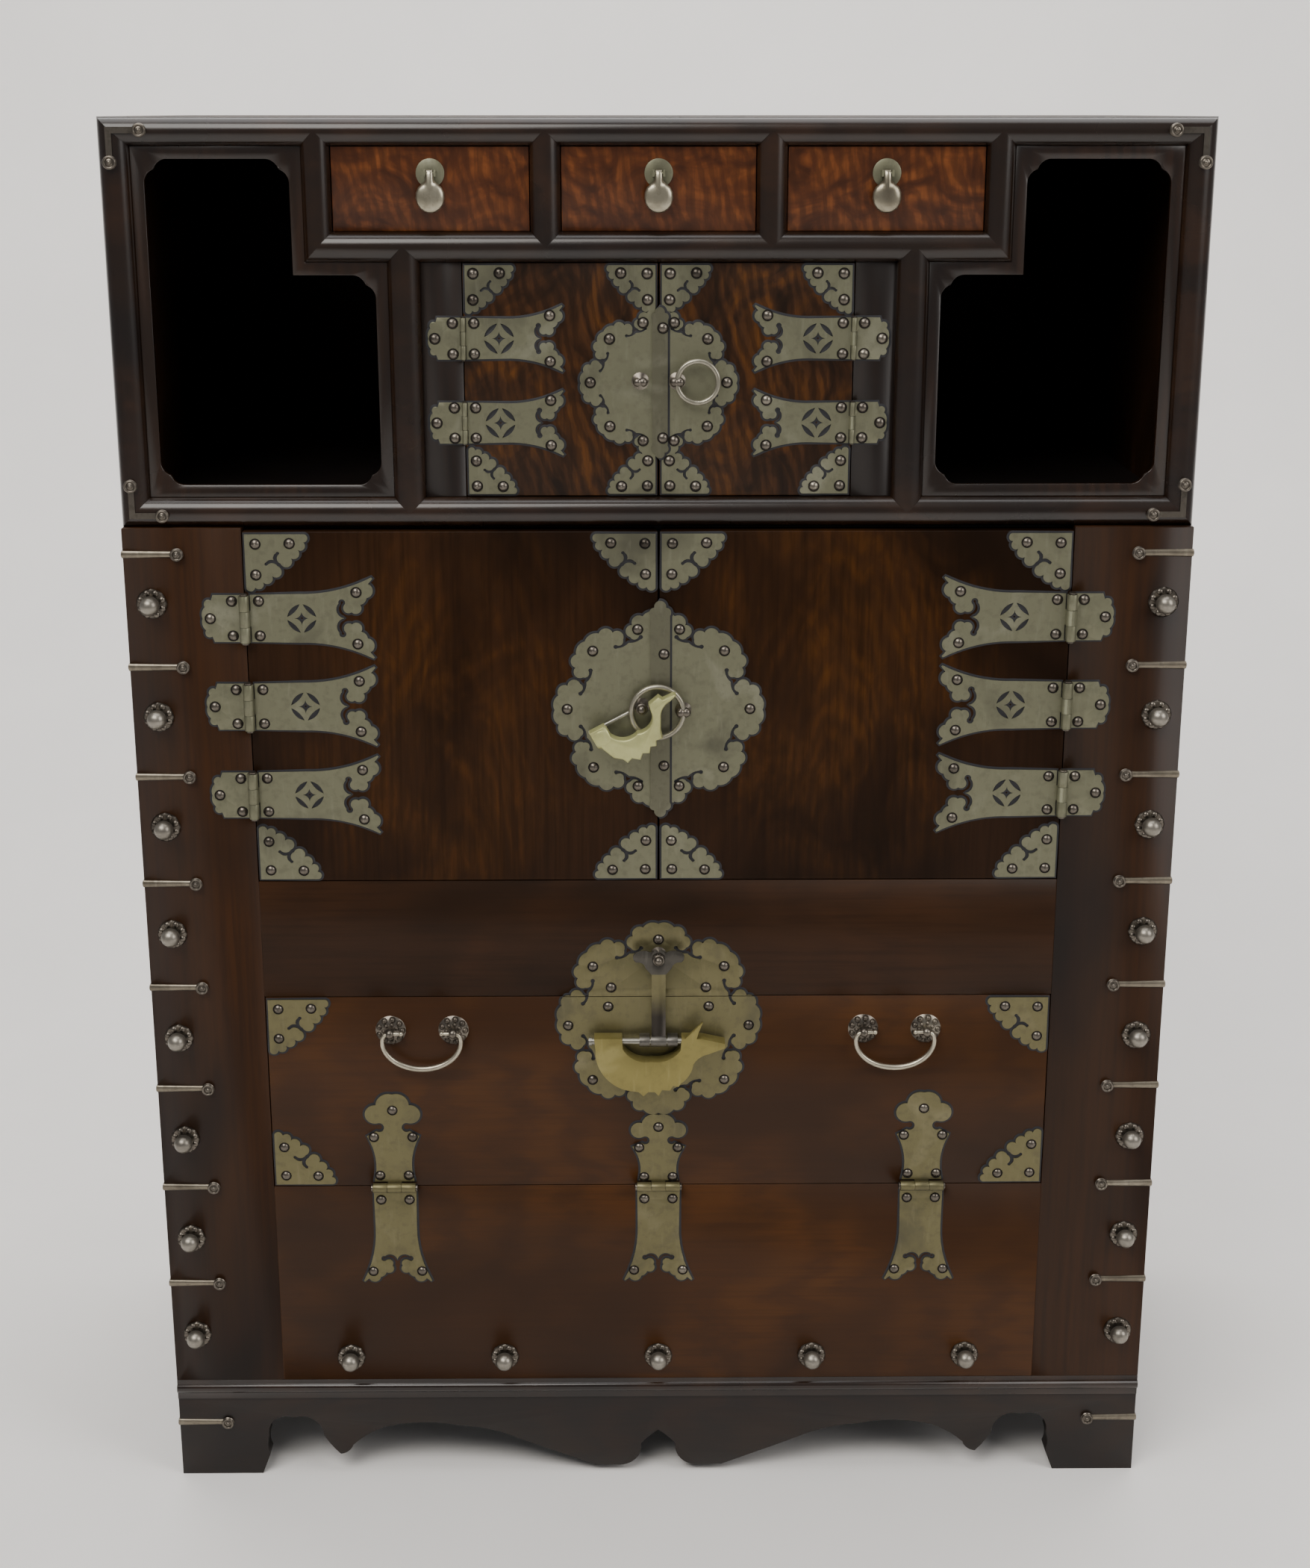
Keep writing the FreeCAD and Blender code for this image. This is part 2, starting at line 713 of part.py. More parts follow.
def hinge_leaf(runs, nails, cuts, face, axis, upright, side, sizes, middle):
    """One leaf: a plate out to one side of the pin, with its own third or two thirds of the barrel."""
    barrel, knuckle, pin = sizes

    def place(pair):
        if pair is None:
            return None
        if upright:
            return (axis[0] + side * pair[0], axis[1] + pair[1])
        return (axis[0] + pair[1], axis[1] + side * pair[0])

    def spot(u, w, y):
        x, z = place((u, w))
        return V(x, y, z)

    def placed(outline):
        return [tuple(place(p) for p in run) for run in outline]

    plate = slab(placed(runs), face - plate_thick, plate_thick)
    out = face - knuckle - joint_clear
    third = barrel / 3
    gap = joint_clear / 2
    for k in (-1, 0, 1):
        low = k * third - third / 2
        high = low + third
        if (k == 0) == middle:
            plate = plate.fuse(rod(knuckle, spot(0, low + gap, out), spot(0, high - gap, out)))
        else:
            past_low = barrel if k < 0 else gap
            past_high = barrel if k > 0 else gap
            a = spot(-overrun, low - past_low, face - 2 * knuckle - overrun)
            b = spot(knuckle + joint_clear, high + past_high, face + overrun)
            plate = plate.cut(box(min(a.x, b.x), max(a.x, b.x), a.y, b.y, min(a.z, b.z), max(a.z, b.z)))
    bore = rod(pin + bore_clear, spot(0, -barrel, out), spot(0, barrel, out))
    holes = [rod(nail_shank + bore_clear, spot(u, w, face - overrun), spot(u, w, face + overrun))
             for u, w in nails]
    holes += [slab(placed(cut), face - overrun, 2 * overrun) for cut in cuts]
    plate = plate.cut([bore] + holes).removeSplitter()
    return plate, [place(pair) for pair in nails]


def pin_solid(axis, face, upright, sizes):
    """A hinge pin with a small button on each end, just clear of the barrel."""
    barrel, knuckle, pin = sizes
    out = face - knuckle - joint_clear
    long = barrel / 2 + joint_clear
    button = pin * pin_button_share
    along = V(0, 0, 1) if upright else V(1, 0, 0)
    points = [(0, -long - pin), (button, -long - pin / 2), (button, -long), (pin, -long), (pin, long),
              (button, long), (button, long + pin / 2), (0, long + pin)]
    return turned(points, V(axis[0], out, axis[1]), along)


pin_button_share = 1.5


def placed_nails(shares, length, across):
    return [(a * length, b * across) for a, b in shares]


def door_hinges(axis_x, levels, face, leaf_size, wall_length, sizes):
    """One tier's door hinges: right moving leaves, all fixed leaves, all pins and the fixed nails."""
    length, tip, coin_share = leaf_size
    root = sizes[0] / 2
    runs = leaf_runs(moving_leaf_shares, length, tip, root)
    wall = leaf_runs(fixed_leaf_shares, wall_length, root, root)
    leaf_nails = placed_nails(leaf_nail_shares, length, root)
    wall_nails = placed_nails(wall_nail_shares, wall_length, root)
    cuts = coin_cuts(coin_share * length)
    moving = []
    fixed = []
    pins = []
    nails = []
    for z in levels:
        axis = (axis_x, z)
        moving.append(hinge_leaf(runs, leaf_nails, cuts, face, axis, True, -1, sizes, True))
        leaf, places = hinge_leaf(wall, wall_nails, [], face, axis, True, 1, sizes, False)
        fixed += both_sides(leaf)
        nails += [(s * x, z1, face) for x, z1 in places for s in (1, -1)]
        pins += both_sides(pin_solid(axis, face, True, sizes))
    return moving, fixed, pins, nails


def strap_hinges():
    """The three hinges under the drop door. The middle one is shorter, to clear the lock plate."""
    sizes = (strap_barrel, strap_knuckle, strap_pin)
    root = strap_barrel / 2
    wall = leaf_runs(moving_leaf_shares, strap_foot, strap_foot_half, root)
    wall_nails = placed_nails(strap_foot_nail_shares, strap_foot, root)
    moving = []
    fixed = []
    pins = []
    nails = []
    for k in (-1, 0, 1):
        tall = strap_tall if k else strap_short
        axis = (k * strap_spacing, strap_axis)
        runs = leaf_runs(strap_leaf_shares, tall, strap_lobe, root)
        spots = placed_nails(strap_nail_shares, tall, strap_lobe)
        moving.append(hinge_leaf(runs, spots, [], 0, axis, False, 1, sizes, True))
        leaf, places = hinge_leaf(wall, wall_nails, [], 0, axis, False, -1, sizes, False)
        fixed.append(leaf)
        nails += [(x, z, 0) for x, z in places]
        pins.append(pin_solid(axis, 0, False, sizes))
    return moving, fixed, pins, nails


def hinge_set():
    """All fixed leaves and pins, and the moving leaves of each door with their nail places."""
    levels = [upper_floor + share * upper_door_height for share in upper_hinge_shares]
    upper_leaf = (upper_leaf_length, upper_leaf_tip, upper_coin_share)
    upper = door_hinges(upper_axis, levels, upper_face, upper_leaf, upper_fixed_length,
                        (upper_barrel, upper_knuckle, upper_pin))
    levels = [lower_door_level + share * lower_door_height for share in lower_hinge_shares]
    lower_leaf = (lower_leaf_length, lower_leaf_tip, lower_coin_share)
    lower = door_hinges(lower_axis, levels, 0, lower_leaf, lower_fixed_length,
                        (lower_barrel, lower_knuckle, lower_pin))
    drop = strap_hinges()
    keep("fixed_hinge_leaves", upper[1] + lower[1] + drop[1])
    keep("hinge_pins", upper[2] + lower[2] + drop[2])
    return {"upper": upper[0], "lower": lower[0], "drop": drop[0]}, upper[3] + lower[3] + drop[3]


# Nail places on the leaves: shares of the leaf's length and of half its barrel or its lobe
leaf_nail_shares = [(.11, .74), (.11, -.74), (.87, 1.1), (.87, -1.1)]
wall_nail_shares = [(.3, .74), (.3, -.74), (.82, 0)]
strap_nail_shares = [(.12, .52), (.12, -.52), (.54, .7), (.54, -.7), (.83, 0)]
strap_foot_nail_shares = [(.14, .66), (.14, -.66), (.89, 1.15), (.89, -1.15)]


# A lock plate has eight lobes. Half a lobe, from its peak down to the valley: each pair is a share of the
# plate's half size and a share of the step between lobes.
lobe_count = 8
lobe_shares = [(1, 0), (1.01, .13, .975, .2), (.985, .3, .91, .36), (.885, .46, .80, .44),
               (.765, .40, .785, .31), (.77, .25, .75, .29), (.735, .4, .75, .5)]


def lobed_plate(middle, size, face):
    """A flower shaped lock plate, with a scrolled cut on each side of every valley."""
    step = 2 * pi / lobe_count
    half_lobe = runs_of(lobe_shares)
    lobe = turned_back(half_lobe, flip_second) + half_lobe
    runs = []
    for k in range(lobe_count):
        for run in lobe:
            placed = []
            for share, lean in [p for p in run if p]:
                turn = (k + lean) * step
                placed.append((middle[0] + size[0] * share * sin(turn),
                               middle[1] + size[1] * share * cos(turn)))
            runs.append((placed[0], placed[1] if run[1] else None, placed[-1]))
    return slab(runs, face - plate_thick, plate_thick)


lock_nail_shares = [(-.2, .83), (-.63, .61), (-.88, .01), (-.63, -.6), (-.2, -.8)]

# The three discs at a strip's end in shares of its half width: sideways, past the end, and the radius
strip_knob_shares = [(0, .45, .62), (-.62, -.15, .5), (.62, -.15, .5)]
strip_nail_side_share = .55


def half_lock(middle, size, face, side):
    """The half of a lock plate that one door carries, and its nail places."""
    whole = lobed_plate(middle, size, face)
    reach = size[0] + overrun
    x0, x1 = (panel_gap, reach) if side > 0 else (-reach, -panel_gap)
    half_plate = whole.common(box(x0, x1, face - overrun, face + overrun, middle[1] - size[1] - overrun,
                                  middle[1] + size[1] + overrun))
    places = [(-side * a * size[0], middle[1] + b * size[1]) for a, b in lock_nail_shares]
    return drilled(half_plate, places, face), places


def cover_strip(sizes, middle, face):
    """The strip over the seam, with three discs at each end. It lies on the lock plate."""
    half_wide, half_long, nail_share = sizes
    front = face - 2 * plate_thick
    x = strip_shift_share * half_wide
    shape = box(x - half_wide, x + half_wide, front, front + plate_thick, middle - half_long,
                middle + half_long)
    for end in (-1, 1):
        for aside, past, radius in strip_knob_shares:
            at = V(x + aside * half_wide, front, middle + end * (half_long + past * half_wide))
            shape = shape.fuse(rod(radius * half_wide, at, at + V(0, plate_thick, 0)))
    places = [(strip_nail_side_share * half_wide, middle + s * nail_share * half_long) for s in (-1, 1)]
    return drilled(shape.removeSplitter(), places, face), places


def post_foot(out):
    """The outline of a post below its head: a neck that starts so far out, a spreading foot and a shank."""
    return [(post_neck, out), (post_neck, plate_thick + post_neck), (post_foot_radius, plate_thick),
            (nail_shank, plate_thick), (nail_shank, -nail_length), (0, -nail_length)]


def ball_post(place, face, reach=post_reach):
    """A turned post with a ball on its neck."""
    side = post_ball * cos(pi / 4)
    points = [(0, reach + post_ball), (side, reach + side, post_ball, reach),
              (side, reach - side) + post_foot(reach - post_neck)[0]]
    return turned(points + post_foot(reach)[1:], V(place[0], face, place[1]), V(0, -1, 0))


# The head of a post with an eye, in shares of the wire's radius: its two round cheeks, how far each lies
# to the side, and the eye
cheek_share = 1.8
cheek_side_share = 1.0
eye_share = 1.25


def eye_post(place, face, wire):
    """A turned post whose head is two round cheeks with an eye between them for a ring's wire."""
    post = turned([(0, ring_out)] + post_foot(ring_out), V(place[0], face, place[1]), V(0, -1, 0))
    cheek = cheek_share * wire
    cheeks = [Part.makeSphere(cheek, V(place[0] + s * cheek_side_share * wire, face - ring_out, place[1]))
              for s in (-1, 1)]
    low = V(place[0], face - ring_out, place[1] - 2 * cheek)
    return post.fuse(cheeks).cut(rod(wire * eye_share, low, low + V(0, 0, 2 * 2 * cheek)))


def panel_nails(places, face, out=plate_thick):
    return [nail(x, z, face - out) for x, z in places]


def door_pair(name, reach, levels, face, thick, corner, leaves, middle, lock, strip, posts):
    """The two doors of one tier, each with its own post. Only the right one has the cover strip."""
    (post, post_shape), (left_post, left_post_shape) = posts
    z0, z1 = levels
    board = door_board(reach, z0, z1, face, thick, 1)
    half_plate, lock_places = half_lock((0, middle), lock, face, 1)
    cover, strip_places = cover_strip(strip, middle, face)
    corners, corner_places = four_corners(panel_gap, reach, z0, z1, corner, face)
    corners = [plate.cut(half_plate) for plate in corners]
    leaf_shapes = [shape for shape, places in leaves]
    leaf_places = [place for shape, places in leaves for place in places]
    left_half = drilled(half_plate, [left_post], face)
    half_plate = drilled(half_plate, [post], face)
    places = corner_places + leaf_places + lock_places
    nails = panel_nails(places, face)
    keep(name + "_left_door_panel", [mirrored(board)])
    keep(name + "_left_door_plates", [mirrored(s) for s in corners + leaf_shapes + [left_half]])
    keep(name + "_left_door_nails", [mirrored(s) for s in nails + [left_post_shape]])
    half_plate = drilled(half_plate, strip_places, face)
    keep(name + "_right_door_panel", [board])
    keep(name + "_right_door_plates", corners + leaf_shapes + [half_plate, cover])
    strip_nails = panel_nails(strip_places, face, 2 * plate_thick)
    keep(name + "_right_door_nails", nails + strip_nails + [post_shape])


def ring(post, radius, wire, face, side):
    """A ring that hangs in its post's eye and lies to one side of it."""
    return Part.makeTorus(radius, wire, V(post[0] + side * radius, face - ring_out, post[1]), V(0, 1, 0))


# The crescent of a padlock in shares of its half length and of its depth below the rod
crescent_shares = [(-.96, .1), (-.65, .1), (-.63, -.16), (-.36, -.43, -.1, -.41), (.27, -.34, .37, -.1),
                   (.4, .06), (.54, .09), (.66, .12), (.71, .01), (.98, 0), (1, -.05), (.83, -.11),
                   (.6, -.2, .49, -.36), (.36, -.62), (.32, -.79), (.18, -.77), (.13, -.88),
                   (.01, -.84), (-.07, -.96), (-.2, -.89), (-.31, -1), (-.45, -.88), (-.58, -.93),
                   (-.63, -.81), (-.79, -.68), (-.9, -.4), (-.97, -.1)]
cap_share = .66
cap_rise_share = 2.2
bolt_head_share = 1.3


def door_padlock():
    """The padlock on the lower ring: its rod passes behind the wire and its crescent hangs in front."""
    px = lower_post[0] - 2 * lower_ring_radius
    pz = lower_post[1]
    cx = px + lock_shift
    front = -(ring_out + lower_ring_wire + lock_gap + lock_thick)
    crescent = slab(closed(scaled(crescent_shares, (cx, pz), (lock_half, lock_belly))), front, lock_thick)
    rod_y = -(ring_out - lower_ring_wire - lock_gap - lock_rod)
    x0 = cx - lock_half
    rise = cap_rise_share * lock_rod
    cap = box(x0, cx - cap_share * lock_half, front, rod_y + lock_rod, pz - rise, pz + rise)
    cap = cap.fuse(rod(lock_rod + cap_wall, V(x0, rod_y, pz), V(cx - cap_share * lock_half, rod_y, pz)))
    case = crescent.fuse(cap).removeSplitter()
    case = case.cut(rod(lock_rod + bore_clear, V(x0 - overrun, rod_y, pz), V(px, rod_y, pz)))
    bolt = rod(lock_rod, V(x0 - lock_rod, rod_y, pz), V(px + lock_end_gap, rod_y, pz))
    head = rod(bolt_head_share * lock_rod, V(x0 - lock_rod, rod_y, pz), V(x0 - lock_gap, rod_y, pz))
    bolt = bolt.fuse(head)
    for shape in (case, bolt):
        shape.rotate(V(px, 0, pz), V(0, -1, 0), lock_tilt)
    keep("door_padlock_case", [case])
    keep("door_padlock_bolt", [bolt])


def drop_padlock():
    """The padlock of the drop door: a wide crescent under a rod that runs through the lugs."""
    z = drop_rod_height
    y = -drop_rod_out
    front = y - drop_padlock_thick / 2
    size = (drop_padlock_half, drop_padlock_belly)
    body = slab(closed(scaled(drop_crescent_shares, (0, z), size)), front, drop_padlock_thick)
    body = body.fuse(slab(closed(scaled(drop_horn_shares, (0, z), size)), front, drop_horn_thick))
    inner = drop_padlock_half * drop_socket_share
    body = body.cut(rod(drop_rod + bore_clear, V(-2 * drop_padlock_half, y, z), V(inner, y, z)))
    left = -drop_padlock_half
    bolt = rod(drop_rod, V(left - drop_rod, y, z), V(inner - drop_lug_gap, y, z))
    head = rod(bolt_head_share * drop_rod, V(left - drop_rod, y, z), V(left - lock_gap, y, z))
    keep("drop_padlock_case", [body])
    keep("drop_padlock_bolt", [bolt.fuse(head)])


drop_socket_share = .46
drop_crescent_shares = [(-.97, .1), (-.55, .1), (-.54, -.1), (-.36, -.3, -.11, -.34), (.17, -.29, .33, -.12),
                        (.345, .1), (.52, .1), (.66, .09), (1, 0), (1, -.08), (.74, -.2),
                        (.6, -.28, .52, -.4), (.46, -.6, .33, -.76), (.3, -.82), (.22, -.8), (.17, -.89),
                        (.05, -.88), (0, -.99),
                        (-.06, -.92), (-.16, -.92), (-.23, -1), (-.3, -.92), (-.42, -.9), (-.53, -.87),
                        (-.83, -.6, -.95, -.12)]
drop_horn_shares = [(.36, .05), (.66, .4), (.6, .22), (.56, .05)]


def hasp():
    """The bat headed strap that drops from the rail's stud to the rod, with its knuckle between the lugs."""
    y = -drop_rod_out
    front = y - hasp_thick / 2
    strap = box(-hasp_half, hasp_half, front, front + hasp_thick, drop_rod_height, hasp_eye_height)
    half_head = scaled(hasp_head_shares, (0, hasp_eye_height), (hasp_head_half, hasp_head_height))
    neck = half_head[-1][1]
    runs = runs_of(half_head[:-1] + [(hasp_half, neck), (0, neck)])
    head = slab(runs + turned_back(runs, flip_x), front, hasp_thick)
    level = drop_rod_height
    knuckle = rod(drop_lug_radius, V(-drop_lug_inner, y, level), V(drop_lug_inner, y, level))
    whole = strap.fuse([head, knuckle])
    bore = rod(drop_rod + bore_clear, V(-half, y, level), V(half, y, level))
    level = hasp_eye_height
    eye = rod(post_ball + hasp_eye_play, V(0, y - overrun, level), V(0, y + overrun, level))
    keep("hasp", [whole.cut([bore, eye])])


hasp_eye_play = 1.0
hasp_head_shares = [(0, .32), (.12, .48, .24, .3), (.54, .46, .86, .36), (.98, .1, .84, -.18),
                    (.6, -.26, .5, -.5), (0, -.85)]


def rail_stud():
    """The ball stud on the rail: its neck passes through the hasp's eye."""
    return ball_post((0, hasp_eye_height), 0, drop_rod_out + hasp_thick / 2 + post_ball)


# Nail places of the drop door's lock plate in shares of its half size
rail_nail_shares = [(0, .84), (.65, .56), (-.65, .56), (.47, .34), (-.47, .34)]
drop_nail_shares = [(.5, .14), (-.5, .14), (.9, -.06), (-.9, -.06), (.66, -.64), (-.66, -.64)]


def bail_parts(x):
    """One bail handle: its rosettes with eyed posts, and the bail."""
    posts = []
    out = bail_out
    bead = bail_wire * bead_share
    for s in (-1, 1):
        neck = post_neck
        points = [(0, out + bead), (bead * cos(pi / 4), out + bead * sin(pi / 4), bead, out),
                  (bead * cos(pi / 4), out - bead * sin(pi / 4), neck, out - bead), (neck, rosette_rise),
                  (rosette_radius * rosette_mid_share, rosette_rise * rosette_mid_share, rosette_radius, 0),
                  (nail_shank, 0), (nail_shank, -nail_length), (0, -nail_length)]
        post = turned(points, V(x + s * bail_post_spread, 0, bail_height), V(0, -1, 0))
        eye = rod(bail_wire + joint_clear, V(x + s * bail_post_spread - rosette_radius, -out, bail_height),
                  V(x + s * bail_post_spread + rosette_radius, -out, bail_height))
        posts.append(post.cut(eye))
    stub = bail_post_spread - bead - bail_bend
    corners = [V(-stub, 0, 0), V(-bail_half, 0, 0), V(-bail_half, 0, -bail_drop),
               V(bail_half, 0, -bail_drop), V(bail_half, 0, 0), V(stub, 0, 0)]
    middle = V(x, -out, bail_height)
    bends = [bail_bend / 2, bail_low_bend, bail_low_bend, bail_bend / 2]
    return posts, tube([middle + c for c in corners], bends, bail_wire)


bead_share = 1.9
rosette_rise = 3.6
rosette_mid_share = .7


def tube(corners, bends, radius):
    """A round wire along straight runs joined by tangent arcs."""
    edges = []
    here = corners[0]
    for i, bend in enumerate(bends):
        corner = corners[i + 1]
        back = (corners[i] - corner).normalize()
        on = (corners[i + 2] - corner).normalize()
        angle = back.getAngle(on)
        reach = bend / abs(sin(angle / 2) / cos(angle / 2))
        start = corner + back * reach
        end = corner + on * reach
        inward = (back + on).normalize()
        mid = corner + inward * (bend / sin(angle / 2) - bend)
        edges.append(Part.LineSegment(here, start).toShape())
        edges.append(Part.Arc(start, mid, end).toShape())
        here = end
    edges.append(Part.LineSegment(here, corners[-1]).toShape())
    path = Part.Wire(edges)
    run = (corners[1] - corners[0]).normalize()
    section = Part.Wire(Part.Circle(corners[0], run, radius).toShape())
    return path.makePipeShell([section], True, False)


def drop_door(leaves):
    keep("drop_door_panel", [drop_board()])
    top = mid_rail_level - panel_gap
    low = drop_hinge_level + panel_gap
    corners, places = four_corners(panel_gap - bay, bay - panel_gap, low, top, drop_corner_plate, 0)
    whole = lobed_plate((0, drop_lock_height), drop_lock, 0)
    reach = drop_lock[0] + overrun
    under = whole.common(box(-reach, reach, -overrun, overrun, low, top))
    over = whole.common(box(-reach, reach, -overrun, overrun, mid_rail_level, lower_door_level))
    lock_places = [(a * drop_lock[0], drop_lock_height + b * drop_lock[1]) for a, b in drop_nail_shares]
    rail_places = [(a * drop_lock[0], drop_lock_height + b * drop_lock[1]) for a, b in rail_nail_shares]
    leaf_places = [place for shape, spots in leaves for place in spots]
    under = drilled(under, lock_places, 0)
    lugs = []
    for s in (-1, 1):
        a, b = sorted((s * (drop_lug_inner + drop_lug_gap), s * drop_lug_reach))
        lug = rod(drop_lug_radius, V(a, -drop_rod_out, drop_rod_height),
                  V(b, -drop_rod_out, drop_rod_height))
        stem = box(a, b, -drop_rod_out, -plate_thick, drop_rod_height - drop_rod, drop_rod_height + drop_rod)
        bore = rod(drop_rod + bore_clear, V(a - overrun, -drop_rod_out, drop_rod_height),
                   V(b + overrun, -drop_rod_out, drop_rod_height))
        lugs.append(lug.fuse(stem).cut(bore))
    keep("drop_door_plates", corners + [shape for shape, spots in leaves] + [under.fuse(lugs)])
    nails = panel_nails(places + leaf_places + lock_places, 0)
    for name, x in (("left_bail", -bail_spread), ("right_bail", bail_spread)):
        posts, bail = bail_parts(x)
        nails += posts
        keep(name, [bail])
    keep("drop_door_nails", nails)
    keep("rail_lock_plate", [drilled(over, rail_places + [(0, hasp_eye_height)], 0)])
    return rail_places


pull_shares = [(.26, 0), (.26, -.2), (.98, -.36, .92, -.62), (.6, -.94, 0, -1)]


def drawers():
    """Three drawers, each with its round back plate and hanging drop."""
    muntin_outer = muntin_inner + muntin_width
    end_inner = case_half_width - case_end_width
    spans = {"left_drawer": (-end_inner, -muntin_outer), "middle_drawer": (-muntin_inner, muntin_inner),
             "right_drawer": (muntin_outer, end_inner)}
    for name, (x0, x1) in spans.items():
        keep(name, [drawer(x0, x1)])
        x = (x0 + x1) / 2
        y = upper_face - pull_pin_out
        disc = [(0, plate_thick), (pull_plate_radius * rosette_mid_share, plate_thick, pull_plate_radius,
                                   plate_thick / 2), (pull_plate_radius, 0), (nail_shank, 0),
                (nail_shank, -nail_length), (0, -nail_length)]
        back = turned(disc, V(x, upper_face, pull_height), V(0, -1, 0))
        lugs = []
        for s in (-1, 1):
            a, b = sorted((s * (pull_knuckle_half + joint_clear), s * pull_lug_out))
            lug = box(x + a, x + b, y - pull_lug_half, upper_face - plate_thick / 2,
                      pull_height - pull_lug_half, pull_height + pull_lug_half)
            lugs.append(lug)
        pin = rod(pull_pin_radius, V(x - pull_lug_out, y, pull_height), V(x + pull_lug_out, y, pull_height))
        keep(name + "_pull_plate", [back.fuse(lugs + [pin]).removeSplitter()])
        runs = runs_of([(0, 0)] + scaled(pull_shares, (0, 0), (pull_half_width, pull_length)))
        runs += turned_back(runs, flip_x)
        placed = [tuple((x + p[0], pull_height + p[1]) if p else None for p in run) for run in runs]
        leaf = slab(placed, y - pull_thick / 2, pull_thick)
        knuckle = rod(pull_knuckle_half, V(x - pull_knuckle_half, y, pull_height),
                      V(x + pull_knuckle_half, y, pull_height))
        bore = rod(pull_pin_radius + bore_clear, V(x - half, y, pull_height), V(x + half, y, pull_height))
        keep(name + "_pull", [leaf.fuse(knuckle).cut(bore).removeSplitter()])


def studs():
    """Ball studs on beaded bases down both stiles and along the lower panel."""
    x = half - stud_inset
    places = [(s * x, stud_top - k * stud_pitch) for s in (-1, 1) for k in range(stud_rows)]
    places += [(k * stud_low_spacing, stud_low_height) for k in range(-2, 3)]
    ball_out = stud_base_thick + stud_ball * ball_seat_share
    seat = stud_ball * sqrt(1 - ball_seat_share ** 2)
    side = stud_ball * cos(pi / 6)
    points = [(0, ball_out + stud_ball), (side, ball_out + stud_ball / 2, seat, stud_base_thick),
              (stud_base_radius, stud_base_thick), (stud_base_radius, 0), (nail_shank, 0),
              (nail_shank, -nail_length), (0, -nail_length)]
    keep("flower_studs", [turned(points, V(px, 0, pz), V(0, -1, 0)) for px, pz in places])


ball_seat_share = .95


def staples():
    """Straps that wrap the front corners of the lower tier, and the nails that hold their front ends."""
    levels = [(staple_top - k * staple_pitch, 0) for k in range(staple_rows)]
    levels.append((staple_foot_height, apron_set_back))
    straps = []
    nails = []
    nail_x = half - staple_reach - staple_ring
    for z, face in levels:
        front = box(nail_x - staple_ring / 2, half + staple_thick, face - staple_thick, face,
                    z - staple_half, z + staple_half)
        wrap = box(half, half + staple_thick, face - staple_thick, staple_side_reach, z - staple_half,
                   z + staple_half)
        strap = front.fuse(wrap).removeSplitter()
        hole = rod(nail_shank + bore_clear, V(nail_x, face - overrun, z), V(nail_x, face + overrun, z))
        straps += both_sides(strap.cut(hole))
        nails += both_sides(nail(nail_x, z, face - staple_thick, staple_ring))
    keep("edge_staples", straps)
    return nails


def corner_straps():
    """Thin angled strips on the corners of the upper frame, shaped to the moulding underneath."""
    x = half - strap_inset
    mouldings = nodes["upper_frame_moulding"]
    straps = []
    nails = []
    for z, s in ((lower_height + strap_inset, 1), (height - strap_inset, -1)):
        a, b = sorted((z, z + s * strap_wide))
        flat = box(x - strap_arm, x, -strap_raise, moulding_rise / 2, a, b)
        a, b = sorted((z, z + s * strap_arm))
        tall = box(x - strap_wide, x, -strap_raise, moulding_rise / 2, a, b)
        strap = flat.fuse(tall).removeSplitter().cut(mouldings)
        places = [(x - strap_arm + strap_wide / 2, z + s * strap_wide / 2),
                  (x - strap_wide / 2, z + s * (strap_arm - strap_wide / 2))]
        holes = [rod(nail_shank + bore_clear, V(u, -overrun, w), V(u, moulding_depth, w)) for u, w in places]
        straps += both_sides(strap.cut(holes))
        for u, w in places:
            nails += both_sides(nail(u, w, -strap_raise, staple_ring))
    keep("corner_straps", straps)
    return nails


def build():
    base()
    lower_boards()
    upper_boards()
    upper_mouldings()
    niche_frames()
    moving, fixed_nails = hinge_set()
    upper_eye = (upper_post, eye_post(upper_post, upper_face, upper_ring_wire))
    lower_eye = (lower_post, eye_post(lower_post, 0, lower_ring_wire))
    lower_ball = (lower_left_post, ball_post(lower_left_post, 0))
    door_pair("upper", upper_door_reach, (upper_floor + panel_gap, case_rail_level - panel_gap), upper_face,
              upper_door_thick, upper_corner_plate, moving["upper"], upper_lock_height, upper_lock,
              upper_strip, (upper_eye, upper_eye))
    door_pair("lower", bay - panel_gap, (lower_door_level + panel_gap, lower_door_top), 0, lower_door_thick,
              lower_corner_plate, moving["lower"], lower_door_middle, lower_lock, lower_strip,
              (lower_eye, lower_ball))
    rail_places = drop_door(moving["drop"])
    drawers()
    keep("upper_ring", [ring(upper_post, upper_ring_radius, upper_ring_wire, upper_face, 1)])
    keep("lower_ring", [ring(lower_post, lower_ring_radius, lower_ring_wire, 0, -1)])
    door_padlock()
    drop_padlock()
    hasp()
    studs()
    nails = staples() + corner_straps() + [rail_stud()]
    nails += [nail(x, z, -plate_thick) for x, z in rail_places]
    nails += [nail(x, z, face - plate_thick) for x, z, face in fixed_nails]
    keep("carcass_nails", nails)


build()
foremost = ring_out + lower_ring_wire + lock_gap + lock_thick
to_origin = V(0, (foremost - depth) / 2, 0)
os.makedirs("parts", exist_ok=True)
for node, shape in nodes.items():
    shape.translate(to_origin)
    shape.exportStep("parts/" + node + ".step")
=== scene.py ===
from math import cos, pi, radians, sin

